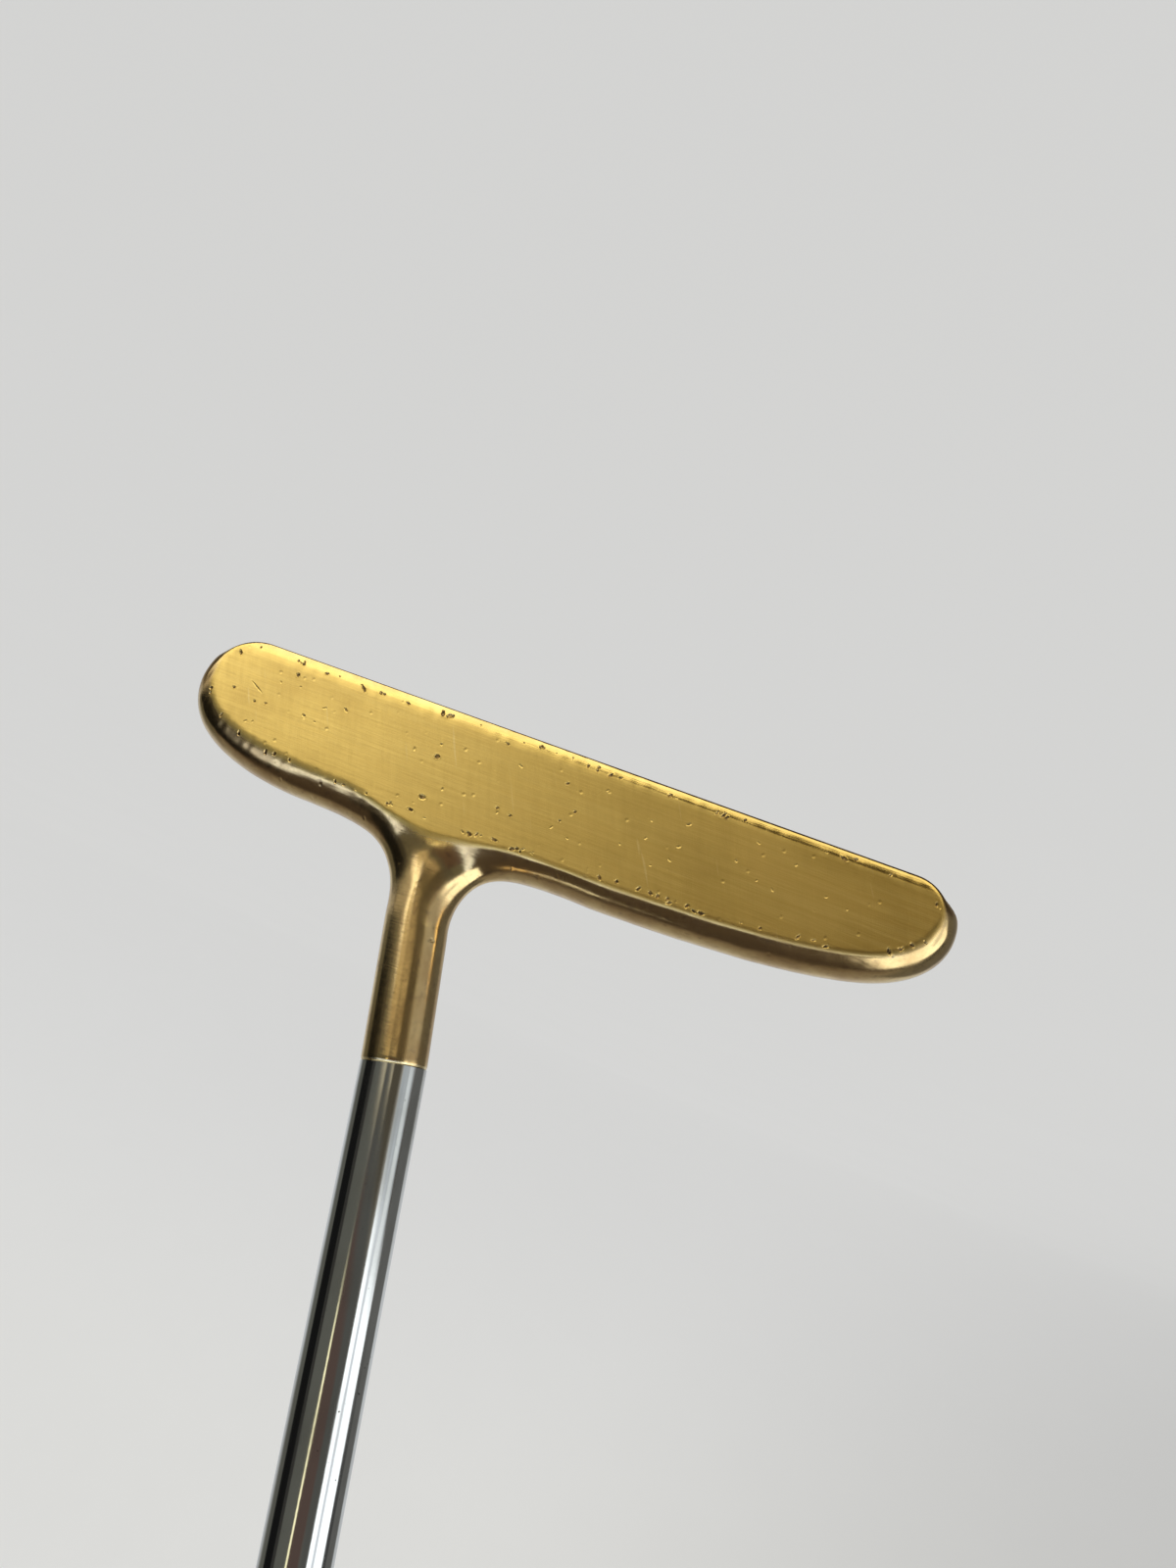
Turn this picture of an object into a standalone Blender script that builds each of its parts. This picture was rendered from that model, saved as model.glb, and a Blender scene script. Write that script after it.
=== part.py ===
"""Two-way blade putter: cast brass head, stepped steel shaft, leather-wrapped paddle grip.

Frame: metres, +Z up, the putter held at address. The origin is the middle of the sole.
X runs along the blade, and the shaft leans toward +X. The two striking faces look along
+Y and -Y. Everything above the head is built on the shaft's own axis, where z = 0 is the
shoulder of the hosel, and an empty carries it to its place.
"""

import math

import bmesh
import bpy
from mathutils import Vector
from mathutils.geometry import interpolate_bezier

MM = 0.001
GAP = 0.15 * MM                      # glue line or slip fit between nested round pieces
BUTT_GAP = 0.3 * MM                  # clearance between faces that meet end to end

# Blade
FACE_LONG_END = 57.5 * MM            # ends of the flat face, from the middle of the sole
FACE_SHORT_END = -56.6 * MM
SOLE_HALF_THICKNESS = 5.9 * MM
FACE_LOFT = math.radians(2.0)        # each face leans back from the sole
RIM_SAGITTA = 3.0 * MM               # how far the round rim stands out past the flat faces
SOLE_EDGE_RADIUS = 0.6 * MM
RIM_STATIONS = (1.0, 0.97, 0.9, 0.75, 0.5, 0.2)

# Hosel and the post inside the shaft
JOINT = Vector((-6.55 * MM, 0.0, 50.6 * MM))
SHAFT_LIE = math.radians(76.5)       # angle between the shaft and the ground
HOSEL_LIE = math.radians(74.5)       # the hosel was bent two degrees flatter
HOSEL_RADIUS = 4.7 * MM
HOSEL_CHAMFER = 0.25 * MM
SHORT_SIDE_FILLET = 14.5 * MM
LONG_SIDE_FILLET = 9.0 * MM
SHORT_SIDE_TOP_LINE = 20.2 * MM
LONG_SIDE_TOP_LINE = 19.9 * MM
ROOT_SWELL = 2.8 * MM                # extra half depth where the neck meets the blade
ROOT_SWELL_HEIGHT = 17.2 * MM
ROOT_FADE = 1.16 * MM
ROOT_ROUNDNESS = 1.6                 # below 2 the root's oval is pointed along the blade
POST_RADIUS = 3.35 * MM
POST_LENGTH = 28.0 * MM

# Shaft
SHAFT_LENGTH = 832.0 * MM
SHAFT_TIP_RADIUS = 4.7 * MM
SHAFT_BUTT_RADIUS = 7.35 * MM
SHAFT_WALL = 0.55 * MM
FIRST_STEP = 150.0 * MM
STEP_SPACING = 38.0 * MM
STEP_COUNT = 11
STEP_RISE = 0.16 * MM
STEP_RUN = 1.5 * MM

# Grip, measured up the shaft from the joint
GRIP_START = 572.0 * MM
TAPE_THICKNESS = 0.35 * MM
UNDERLISTING_LOW = (8.3 * MM, 8.0 * MM, 8.4 * MM)       # half width, front depth, back depth
UNDERLISTING_HIGH = (11.8 * MM, 9.6 * MM, 14.6 * MM)
LEATHER_THICKNESS = 1.25 * MM
LEATHER_START = 578.0 * MM
CAP_THICKNESS = 5.5 * MM
CAP_OVERHANG = 0.35 * MM
PLUG_LENGTH = 26.0 * MM
SCREW_SHANK_RADIUS = 1.3 * MM
SCREW_SHANK_LENGTH = 15.0 * MM
SCREW_HEAD_RADIUS = 3.0 * MM
SCREW_HEAD_HEIGHT = 1.3 * MM
SCREW_SLOT_WIDTH = 0.7 * MM
SCREW_SLOT_DEPTH = 0.6 * MM
COLLAR_LENGTH = 15.0 * MM
WHIPPING_TURNS = 6
WHIPPING_THREAD = 0.9 * MM

ROUND_SEGMENTS = 24
GRIP_SEGMENTS = 28
NECK_SEGMENTS = 32


def clear_scene():
    """Remove every object that the opened file holds."""
    for item in list(bpy.data.objects):
        bpy.data.objects.remove(item, do_unlink=True)


def make_material(name, color, roughness, metallic):
    """One Principled material with a plain colour."""
    material = bpy.data.materials.new(name)
    material.use_nodes = True
    shader = material.node_tree.nodes["Principled BSDF"]
    shader.inputs["Base Color"].default_value = (*color, 1.0)
    shader.inputs["Roughness"].default_value = roughness
    shader.inputs["Metallic"].default_value = metallic
    return material


def add_object(name, bm, material, parent=None):
    """Turn a bmesh into a named, smooth-shaded object with crisp edges kept sharp."""
    bmesh.ops.recalc_face_normals(bm, faces=bm.faces)
    mesh = bpy.data.meshes.new(name)
    bm.to_mesh(mesh)
    bm.free()
    mesh.shade_smooth()
    mesh.set_sharp_from_angle(angle=math.radians(35.0))
    mesh.materials.append(material)
    item = bpy.data.objects.new(name, mesh)
    bpy.context.collection.objects.link(item)
    item.parent = parent
    return item


def loft(bm, rings, closed_path=False):
    """Skin a run of rings that all have the same number of points."""
    loops = [[bm.verts.new(point) for point in ring] for ring in rings]
    count = len(loops[0])
    pairs = list(zip(loops, loops[1:]))
    if closed_path:
        pairs.append((loops[-1], loops[0]))
    for lower, upper in pairs:
        for i in range(count):
            j = (i + 1) % count
            bm.faces.new((lower[i], lower[j], upper[j], upper[i]))
    return loops


def circle(radius, height, segments=ROUND_SEGMENTS):
    """Points of a level circle about the local Z axis."""
    step = 2.0 * math.pi / segments
    return [Vector((radius * math.cos(i * step), radius * math.sin(i * step), height)) for i in range(segments)]


def turned(profile, segments=ROUND_SEGMENTS, closed_path=False):
    """A turned solid from (radius, height) pairs; an open profile gets flat end caps."""
    bm = bmesh.new()
    rings = [circle(radius, height, segments) for radius, height in profile]
    loops = loft(bm, rings, closed_path)
    if not closed_path:
        bm.faces.new(loops[0])
        bm.faces.new(loops[-1])
    return bm


def smooth_step(value, start, end):
    """0 before start, 1 after end, and an easy S between them."""
    t = min(max((value - start) / (end - start), 0.0), 1.0)
    return t * t * (3.0 - 2.0 * t)


def half_thickness(z):
    """Half the distance between the two lofted faces at a height."""
    return SOLE_HALF_THICKNESS - z * math.tan(FACE_LOFT)


# ---------------------------------------------------------------- head

def heading(degrees):
    """Unit vector in the XZ plane."""
    angle = math.radians(degrees)
    return Vector((math.cos(angle), 0.0, math.sin(angle)))


def face_outline():
    """Outline of the flat face, counter-clockwise from the long end of the sole."""
    low = SOLE_EDGE_RADIUS
    # x, z, heading in degrees, handle before, handle after
    knots = (
        (52.4 * MM, low, 0.0, 0.0, 2.8 * MM),
        (FACE_LONG_END, 5.6 * MM, 90.0, 2.7 * MM, 4.2 * MM),
        (46.5 * MM, 13.9 * MM, 167.0, 6.4 * MM, 12.0 * MM),
        (2.0 * MM, 17.1 * MM, 179.0, 14.0 * MM, 12.0 * MM),
        (-40.0 * MM, 16.8 * MM, 185.0, 12.0 * MM, 9.0 * MM),
        (FACE_SHORT_END, 7.6 * MM, 270.0, 5.8 * MM, 4.2 * MM),
        (-49.6 * MM, low, 360.0, 3.6 * MM, 0.0),
    )
    samples = (9, 10, 9, 9, 12, 9)
    sole_spans = 8
    outline = []
    for first, second, count in zip(knots, knots[1:], samples):
        start = Vector((first[0], 0.0, first[1]))
        end = Vector((second[0], 0.0, second[1]))
        leave = heading(first[2]) * first[4]
        arrive = heading(second[2]) * second[3]
        points = interpolate_bezier(start, start + leave, end - arrive, end, count)
        outline.extend(points if not outline else points[1:])
    sole_start, sole_end = outline[-1], outline[0]
    outline.extend(sole_start.lerp(sole_end, i / sole_spans) for i in range(1, sole_spans))
    return outline


def rim_reach(station, half, sole_share):
    """How far the rim stands out past the face outline at y = station * half."""
    radius = (half * half + RIM_SAGITTA * RIM_SAGITTA) / (2.0 * RIM_SAGITTA)
    bullnose = math.sqrt(radius * radius - (station * half) ** 2) - (radius - RIM_SAGITTA)
    past_flat = max(station * half - (half - SOLE_EDGE_RADIUS), 0.0)
    flat_sole = math.sqrt(max(SOLE_EDGE_RADIUS ** 2 - past_flat ** 2, 0.0))
    return bullnose * (1.0 - sole_share) + flat_sole * sole_share


def build_blade():
    """The blade: two flat lofted faces inside a round rim, flat along the sole."""
    outline = face_outline()
    count = len(outline)
    stations = list(RIM_STATIONS) + [-s for s in reversed(RIM_STATIONS)]
    bm = bmesh.new()
    strips = []
    for i, point in enumerate(outline):
        tangent = (outline[(i + 1) % count] - outline[i - 1]).normalized()
        outward = Vector((tangent.z, 0.0, -tangent.x))
        sole_share = smooth_step(-outward.z, 0.3, 1.0)
        strip = []
        for station in stations:
            place = point + outward * rim_reach(abs(station), half_thickness(point.z), sole_share)
            strip.append(bm.verts.new((place.x, station * half_thickness(place.z), place.z)))
        strips.append(strip)
    for i in range(count):
        here, following = strips[i], strips[(i + 1) % count]
        for k in range(len(stations) - 1):
            bm.faces.new((here[k], following[k], following[k + 1], here[k + 1]))
    bm.faces.new([strip[0] for strip in strips])
    bm.faces.new([strip[-1] for strip in reversed(strips)])
    return bm


def fillet_edge(side, radius, top_line, start, samples):
    """Points from the top line, round a fillet and up the edge of the hosel.

    side is -1 for the short side and +1 for the long side. start is a point on the edge of
    the straight hosel, and the top line is level here.
    """
    up = heading(math.degrees(HOSEL_LIE))
    corner = start - up * ((start.z - top_line) / up.z)
    opening = HOSEL_LIE if side > 0 else math.pi - HOSEL_LIE
    bisector = (up + Vector((side, 0.0, 0.0))).normalized()
    center = corner + bisector * (radius / math.sin(opening / 2.0))
    first_angle = -math.pi / 2.0
    sweep = math.pi - opening
    points = []
    for i in range(samples):
        angle = first_angle - side * sweep * i / (samples - 1)
        points.append(center + Vector((math.cos(angle), 0.0, math.sin(angle))) * radius)
    return points


def oval(value, roundness):
    """One coordinate of a unit superellipse, from a sine or a cosine."""
    return math.copysign(abs(value) ** (2.0 / roundness), value)


def neck_depth(height):
    """Half depth of the neck: the hosel's radius, swelling toward the blade."""
    return HOSEL_RADIUS + ROOT_SWELL * math.exp(-(height - ROOT_SWELL_HEIGHT) / ROOT_FADE)


def section(left, right, roundness):
    """An oval section across the XZ line from left to right, ground flush with the faces."""
    middle = (left + right) / 2.0
    reach = (right - left) / 2.0
    half_depth = neck_depth(middle.z)
    ring = []
    for i in range(NECK_SEGMENTS):
        angle = 2.0 * math.pi * i / NECK_SEGMENTS
        place = middle + reach * oval(math.cos(angle), roundness)
        limit = half_thickness(place.z) - 0.02 * MM
        depth = half_depth * oval(math.sin(angle), roundness)
        ring.append(Vector((place.x, min(max(depth, -limit), limit), place.z)))
    return ring


def build_neck():
    """The neck: rooted in the blade, filleted into the hosel, then the shoulder and the post."""
    shaft_up = heading(math.degrees(SHAFT_LIE))
    shaft_across = Vector((shaft_up.z, 0.0, -shaft_up.x))
    hosel_up = heading(math.degrees(HOSEL_LIE))
    hosel_across = Vector((hosel_up.z, 0.0, -hosel_up.x))
    reach = hosel_across * HOSEL_RADIUS
    short_edge = fillet_edge(-1, SHORT_SIDE_FILLET, SHORT_SIDE_TOP_LINE, JOINT - reach, 12)
    long_edge = fillet_edge(1, LONG_SIDE_FILLET, LONG_SIDE_TOP_LINE, JOINT + reach, 12)
    rings = []
    for depth in (4.6, 3.3, 2.6, 1.9, 1.2, 0.6):
        buried = Vector((0.0, 0.0, -depth * MM))
        rings.append(section(short_edge[0] + buried, long_edge[0] + buried, ROOT_ROUNDNESS))
    for i, (short_point, long_point) in enumerate(zip(short_edge, long_edge)):
        roundness = ROOT_ROUNDNESS + (2.0 - ROOT_ROUNDNESS) * i / (len(short_edge) - 1)
        rings.append(section(short_point, long_point, roundness))
    rings.append(round_section(JOINT - hosel_up * 6.0 * MM, hosel_across, HOSEL_RADIUS))
    rings.append(round_section(JOINT - shaft_up * HOSEL_CHAMFER, shaft_across, HOSEL_RADIUS))
    rings.append(round_section(JOINT, shaft_across, HOSEL_RADIUS - HOSEL_CHAMFER))
    rings.append(round_section(JOINT, shaft_across, POST_RADIUS))
    rings.append(round_section(JOINT + shaft_up * (POST_LENGTH - 1.0 * MM), shaft_across, POST_RADIUS))
    rings.append(round_section(JOINT + shaft_up * POST_LENGTH, shaft_across, POST_RADIUS - 0.8 * MM))
    bm = bmesh.new()
    loops = loft(bm, rings)
    bm.faces.new(loops[0])
    bm.faces.new(loops[-1])
    return bm


def round_section(center, across, radius):
    """A circle of points about an axis in the XZ plane, matched to the points of section()."""
    ring = []
    for i in range(NECK_SEGMENTS):
        angle = 2.0 * math.pi * i / NECK_SEGMENTS
        place = center + across * (radius * math.cos(angle))
        ring.append(Vector((place.x, radius * math.sin(angle), place.z)))
    return ring


def build_head(material):
    """One casting: the blade with the neck, the hosel and the post joined to it."""
    head = add_object("putter_head", build_blade(), material)
    neck = add_object("neck_form", build_neck(), material)
    neck.hide_render = True
    neck.display_type = "WIRE"
    union = head.modifiers.new("join_neck", "BOOLEAN")
    union.operation = "UNION"
    union.solver = "EXACT"
    union.object = neck
    return head


# ---------------------------------------------------------------- shaft

def shaft_radius(height):
    """Outer radius under the grip, where the steps give way to a plain taper."""
    stepped = SHAFT_TIP_RADIUS + STEP_COUNT * STEP_RISE
    share = (height - GRIP_START) / (SHAFT_LENGTH - GRIP_START)
    return stepped + (SHAFT_BUTT_RADIUS - stepped) * min(max(share, 0.0), 1.0)


def shaft_profile():
    """Closed outline of the tube wall: down the bore from the butt and up the stepped outside."""
    outside = [(SHAFT_TIP_RADIUS - 0.15 * MM, BUTT_GAP), (SHAFT_TIP_RADIUS, BUTT_GAP + 0.15 * MM)]
    for i in range(STEP_COUNT):
        height = FIRST_STEP + i * STEP_SPACING
        radius = SHAFT_TIP_RADIUS + i * STEP_RISE
        outside.append((radius, height))
        outside.append((radius + STEP_RISE, height + STEP_RUN))
    outside.append((shaft_radius(GRIP_START), GRIP_START))
    outside.append((SHAFT_BUTT_RADIUS, SHAFT_LENGTH))
    bore = [
        (SHAFT_BUTT_RADIUS - SHAFT_WALL, SHAFT_LENGTH),
        (shaft_radius(GRIP_START) - SHAFT_WALL, GRIP_START),
        (SHAFT_TIP_RADIUS - SHAFT_WALL, FIRST_STEP),
        (SHAFT_TIP_RADIUS - SHAFT_WALL, BUTT_GAP),
    ]
    return outside + bore


def build_shaft(material, axis):
    """The steel tube, open at both ends, with steps up its length."""
    return add_object("shaft", turned(shaft_profile(), closed_path=True), material, axis)


def build_shaft_epoxy(material, axis):
    """The sleeve of cured epoxy between the post and the bore of the shaft."""
    inner = POST_RADIUS + GAP
    outer = SHAFT_TIP_RADIUS - SHAFT_WALL - GAP
    bottom = 1.0 * MM
    top = POST_LENGTH - 1.5 * MM
    profile = [(outer, bottom), (outer, top), (inner, top), (inner, bottom)]
    return add_object("shaft_epoxy", turned(profile, closed_path=True), material, axis)


# ---------------------------------------------------------------- grip

def paddle_ring(height, growth):
    """Section of the paddle grip at a height: a flat front toward -X and a round back.

    growth is the distance outside the rubber underlisting.
    """
    share = (height - GRIP_START) / (SHAFT_LENGTH - GRIP_START)
    swell = smooth_step(share, 0.25, 1.0)
    ease = 0.45 * share + 0.55 * swell
    width, front, back = (low + (high - low) * ease for low, high in zip(UNDERLISTING_LOW, UNDERLISTING_HIGH))
    ring = []
    for i in range(GRIP_SEGMENTS):
        angle = 2.0 * math.pi * i / GRIP_SEGMENTS
        cosine, sine = math.cos(angle), math.sin(angle)
        flatness = 2.0 + 1.2 * ease if cosine < 0.0 else 2.0
        depth = (front if cosine < 0.0 else back) + growth
        x = oval(cosine, flatness) * depth
        y = oval(sine, flatness) * (width + growth)
        ring.append(Vector((x, y, height)))
    return ring


def grip_heights(start, end, count):
    """Evenly spaced heights along a sleeve."""
    return [start + (end - start) * i / (count - 1) for i in range(count)]


def sleeve(outer_rings, inner_rings):
    """A tube that is open at both ends, from its outer and inner rings."""
    bm = bmesh.new()
    loft(bm, outer_rings + list(reversed(inner_rings)), closed_path=True)
    return bm


def build_butt_plug(material, axis):
    """The turned wooden plug that fills the butt of the shaft and holds the cap screw."""
    outer = SHAFT_BUTT_RADIUS - SHAFT_WALL - 3.0 * GAP
    hole = SCREW_SHANK_RADIUS + GAP
    bottom = SHAFT_LENGTH - PLUG_LENGTH
    hole_floor = SHAFT_LENGTH - SCREW_SHANK_LENGTH
    profile = [
        (0.8 * outer, bottom),
        (outer - 0.2 * MM, bottom + 1.5 * MM),
        (outer, SHAFT_LENGTH),
        (hole, SHAFT_LENGTH),
        (hole, hole_floor),
    ]
    return add_object("butt_plug", turned(profile), material, axis)


def build_grip_tape(material, axis):
    """The layer of adhesive tape wound on the shaft under the grip."""
    low, high = GRIP_START + 1.0 * MM, SHAFT_LENGTH
    inside = [circle(shaft_radius(z) + GAP, z, GRIP_SEGMENTS) for z in (low, high)]
    outside = [circle(shaft_radius(z) + GAP + TAPE_THICKNESS, z, GRIP_SEGMENTS) for z in (low, high)]
    return add_object("grip_tape", sleeve(outside, inside), material, axis)


def build_underlisting(material, axis):
    """The rubber sleeve that gives the grip its paddle shape under the leather."""
    outside = [paddle_ring(z, 0.0) for z in grip_heights(GRIP_START, SHAFT_LENGTH, 9)]
    clearance = 2.0 * GAP + TAPE_THICKNESS
    inside = [circle(shaft_radius(z) + clearance, z, GRIP_SEGMENTS) for z in (GRIP_START, SHAFT_LENGTH)]
    return add_object("underlisting", sleeve(outside, inside), material, axis)


def build_leather_wrap(material, axis):
    """The leather strip wound round the underlisting, as one closed sleeve."""
    heights = grip_heights(LEATHER_START, SHAFT_LENGTH, 9)
    outside = [paddle_ring(z, GAP + LEATHER_THICKNESS) for z in heights]
    inside = [paddle_ring(z, GAP) for z in heights]
    return add_object("leather_wrap", sleeve(outside, inside), material, axis)


def build_butt_cap(material, axis):
    """The cap over the butt of the grip, with a sunk seat and a hole for its screw."""
    rim = GAP + LEATHER_THICKNESS + CAP_OVERHANG
    bottom = SHAFT_LENGTH + BUTT_GAP
    top = bottom + CAP_THICKNESS
    hole = SCREW_SHANK_RADIUS + GAP
    seat = SCREW_HEAD_RADIUS + BUTT_GAP
    seat_floor = top - SCREW_HEAD_HEIGHT - BUTT_GAP
    grip_top = paddle_ring(SHAFT_LENGTH, rim)

    def shrunk(scale, height):
        return [Vector((p.x * scale, p.y * scale, height)) for p in grip_top]

    outside = [
        shrunk(0.98, bottom),
        shrunk(1.0, bottom + 0.4 * MM),
        shrunk(1.0, bottom + 2.6 * MM),
        shrunk(0.94, bottom + 4.2 * MM),
        shrunk(0.75, top - 0.4 * MM),
        circle(seat + 1.4 * MM, top, GRIP_SEGMENTS),
        circle(seat, top, GRIP_SEGMENTS),
        circle(seat, seat_floor, GRIP_SEGMENTS),
        circle(hole, seat_floor, GRIP_SEGMENTS),
        circle(hole, bottom, GRIP_SEGMENTS),
    ]
    bm = bmesh.new()
    loft(bm, outside, closed_path=True)
    return add_object("butt_cap", bm, material, axis)


def build_cap_screw(material, axis):
    """The round-head brass screw that holds the cap, with a driver slot across its head."""
    head_bottom = SHAFT_LENGTH + BUTT_GAP + CAP_THICKNESS - SCREW_HEAD_HEIGHT
    shank_end = SHAFT_LENGTH - SCREW_SHANK_LENGTH + BUTT_GAP
    profile = [
        (0.3 * SCREW_SHANK_RADIUS, shank_end),
        (SCREW_SHANK_RADIUS, shank_end + 2.0 * MM),
        (SCREW_SHANK_RADIUS, head_bottom),
        (SCREW_HEAD_RADIUS, head_bottom),
        (SCREW_HEAD_RADIUS, head_bottom + 0.5 * SCREW_HEAD_HEIGHT),
        (0.72 * SCREW_HEAD_RADIUS, head_bottom + 0.88 * SCREW_HEAD_HEIGHT),
        (0.3 * SCREW_HEAD_RADIUS, head_bottom + SCREW_HEAD_HEIGHT),
    ]
    screw = add_object("cap_screw", turned(profile), material, axis)
    slot = bmesh.new()
    bmesh.ops.create_cube(slot, size=1.0)
    bmesh.ops.scale(slot, verts=slot.verts, vec=(4.0 * SCREW_HEAD_RADIUS, SCREW_SLOT_WIDTH, 2.0 * SCREW_SLOT_DEPTH))
    cutter = add_object("slot_cutter", slot, material, axis)
    cutter.location.z = head_bottom + SCREW_HEAD_HEIGHT
    cutter.hide_render = True
    cutter.display_type = "WIRE"
    cut = screw.modifiers.new("driver_slot", "BOOLEAN")
    cut.operation = "DIFFERENCE"
    cut.solver = "EXACT"
    cut.object = cutter
    return screw


def build_grip_collar(material, axis):
    """The tapered rubber collar on the shaft against the lower end of the grip."""
    top = GRIP_START - BUTT_GAP
    bottom = top - COLLAR_LENGTH
    bore = shaft_radius(GRIP_START) + GAP
    profile = [
        (bore + 0.9 * MM, bottom),
        (bore + 1.3 * MM, bottom + 0.8 * MM),
        (UNDERLISTING_LOW[0] - 0.4 * MM, top - 4.0 * MM),
        (UNDERLISTING_LOW[0] + 0.3 * MM, top - 2.0 * MM),
        (UNDERLISTING_LOW[0] + 0.3 * MM, top),
        (bore, top),
        (bore, bottom),
    ]
    return add_object("grip_collar", turned(profile, closed_path=True), material, axis)


def build_end_whipping(material, axis):
    """Turns of waxed thread that bind the lower end of the leather."""
    low = LEATHER_START + 0.6 * MM
    heights = []
    for turn in range(WHIPPING_TURNS):
        base = low + turn * WHIPPING_THREAD
        heights.extend(((base, 0.25), (base + 0.3 * WHIPPING_THREAD, 0.85), (base + 0.7 * WHIPPING_THREAD, 0.85)))
    heights.append((low + WHIPPING_TURNS * WHIPPING_THREAD, 0.25))
    skin = 2.0 * GAP + LEATHER_THICKNESS
    outside = [paddle_ring(z, skin + bulge * WHIPPING_THREAD) for z, bulge in heights]
    inside = [paddle_ring(z, skin) for z in (heights[0][0], heights[-1][0])]
    return add_object("end_whipping", sleeve(outside, inside), material, axis)


def main():
    clear_scene()
    brass = make_material("cast_brass", (0.72, 0.52, 0.20), 0.28, 1.0)
    chrome = make_material("chrome_steel", (0.80, 0.80, 0.79), 0.08, 1.0)
    epoxy = make_material("cured_epoxy", (0.55, 0.46, 0.26), 0.35, 0.0)
    wood = make_material("plug_wood", (0.52, 0.34, 0.18), 0.60, 0.0)
    tape = make_material("grip_tape", (0.72, 0.66, 0.50), 0.75, 0.0)
    rubber = make_material("black_rubber", (0.03, 0.03, 0.03), 0.65, 0.0)
    leather = make_material("black_leather", (0.045, 0.035, 0.03), 0.50, 0.0)
    plastic = make_material("cap_plastic", (0.035, 0.03, 0.03), 0.30, 0.0)
    screw_brass = make_material("screw_brass", (0.78, 0.60, 0.28), 0.25, 1.0)
    thread = make_material("waxed_thread", (0.05, 0.045, 0.04), 0.60, 0.0)

    axis = bpy.data.objects.new("shaft_axis", None)
    bpy.context.collection.objects.link(axis)
    axis.location = JOINT
    axis.rotation_euler.y = math.pi / 2.0 - SHAFT_LIE

    build_head(brass)
    build_shaft(chrome, axis)
    build_shaft_epoxy(epoxy, axis)
    build_butt_plug(wood, axis)
    build_grip_tape(tape, axis)
    build_underlisting(rubber, axis)
    build_leather_wrap(leather, axis)
    build_butt_cap(plastic, axis)
    build_cap_screw(screw_brass, axis)
    build_grip_collar(rubber, axis)
    build_end_whipping(thread, axis)


main()
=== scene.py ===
"""Studio view of a two-way blade putter: worn cast brass head, stepped chrome shaft, leather paddle grip.

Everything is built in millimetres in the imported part's own frame and turned to metres on the way out.
The sole is at z = 0, the blade runs along X, the striking faces look along +Y and -Y.
"""

import math
import random

import bmesh
import bpy
import numpy as np
from mathutils import Matrix, Vector, kdtree, noise
from mathutils.geometry import interpolate_bezier


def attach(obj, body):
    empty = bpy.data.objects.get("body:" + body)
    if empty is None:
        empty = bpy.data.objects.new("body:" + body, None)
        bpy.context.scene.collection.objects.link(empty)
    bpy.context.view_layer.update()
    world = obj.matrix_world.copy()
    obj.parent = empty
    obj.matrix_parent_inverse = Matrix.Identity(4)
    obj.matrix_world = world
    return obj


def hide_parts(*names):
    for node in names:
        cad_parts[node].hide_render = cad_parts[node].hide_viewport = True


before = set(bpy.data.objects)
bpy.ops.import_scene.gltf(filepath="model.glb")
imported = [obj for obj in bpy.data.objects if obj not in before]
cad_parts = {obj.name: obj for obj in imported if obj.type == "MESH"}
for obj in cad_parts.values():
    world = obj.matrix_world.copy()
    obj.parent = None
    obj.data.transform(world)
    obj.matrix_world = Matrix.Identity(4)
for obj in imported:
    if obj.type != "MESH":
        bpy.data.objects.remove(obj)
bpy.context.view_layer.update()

MM = 0.001
TAU = 2.0 * math.pi
DEGREES = 180.0 / math.pi
SIDES = 96               # points round the shaft, the grip and each turned part

# Head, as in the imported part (millimetres)
SOLE_HALF = 5.9
LOFT = math.tan(math.radians(2.0))
RIM_SAGITTA = 3.0
SOLE_EDGE = 0.85
JOINT = Vector((-6.55, 0.0, 50.6))
SHAFT_LIE = math.radians(76.5)
HOSEL_LIE = math.radians(74.5)
HOSEL_R = 4.7
POST_R = 3.35
POST_LENGTH = 28.0
HOSEL_CUT = 9.0          # how far below the joint the skinned casting gives way to the turned hosel
NECK_FOOT = 9.0          # height at which the neck starts inside the blade
SHORT_FILLET = (-1.0, 14.5, 19.75)   # side of the neck, radius, height of the blade's top there
LONG_FILLET = (1.0, 9.0, 19.55)
CELL = 0.25              # spacing of the grid the casting is skinned on
RELAX_ROUNDS = 160
BRASS, BRASS_EDGE, BRASS_PIT_SHADE = range(3)
PIT_DEPTH = 0.07         # faces of a dent deeper than this get the pit material's painted shade
KNOCKS = 30
FRONT_NICKS = 95
BACK_NICKS = 90
SEED = 11
SOLE_POINTS = 200

# Shaft and grip
SHAFT_LENGTH = 832.0
TIP_R = 4.7
BUTT_R = 7.35
WALL = 0.55
FIRST_STEP = 150.0
STEP_SPACING = 38.0
STEP_COUNT = 11
STEP_RISE = 0.16
GRIP_START = 572.0
LEATHER_START = 578.0
GAP = 0.15
BUTT_GAP = 0.3
SEAT = 0.06              # the shaft is driven down almost onto the hosel's shoulder
PADDLE_LOW = (8.3, 8.0, 8.4)
PADDLE_HIGH = (11.8, 9.6, 14.6)
CORE_CLEARANCE = 0.65    # room for the tape and its gaps between shaft and core
WRAP_THICK = 1.25        # the leather with its lap
STRIP_PITCH = 21.0
STRIP_WIDTH = 23.5
STRIP_THICK = 0.72
THREAD_R = 0.45
CAP_THICKNESS = 5.5
CAP_OVERHANG = 0.35
SCREW_R = 1.3
SCREW_HEAD_R = 3.0
SCREW_HEAD_HEIGHT = 1.3
COLLAR_LENGTH = 15.0
COLLAR_R = 8.6
BACKDROP_DROP = 0.42     # metres from the sole down to the pale floor


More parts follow.
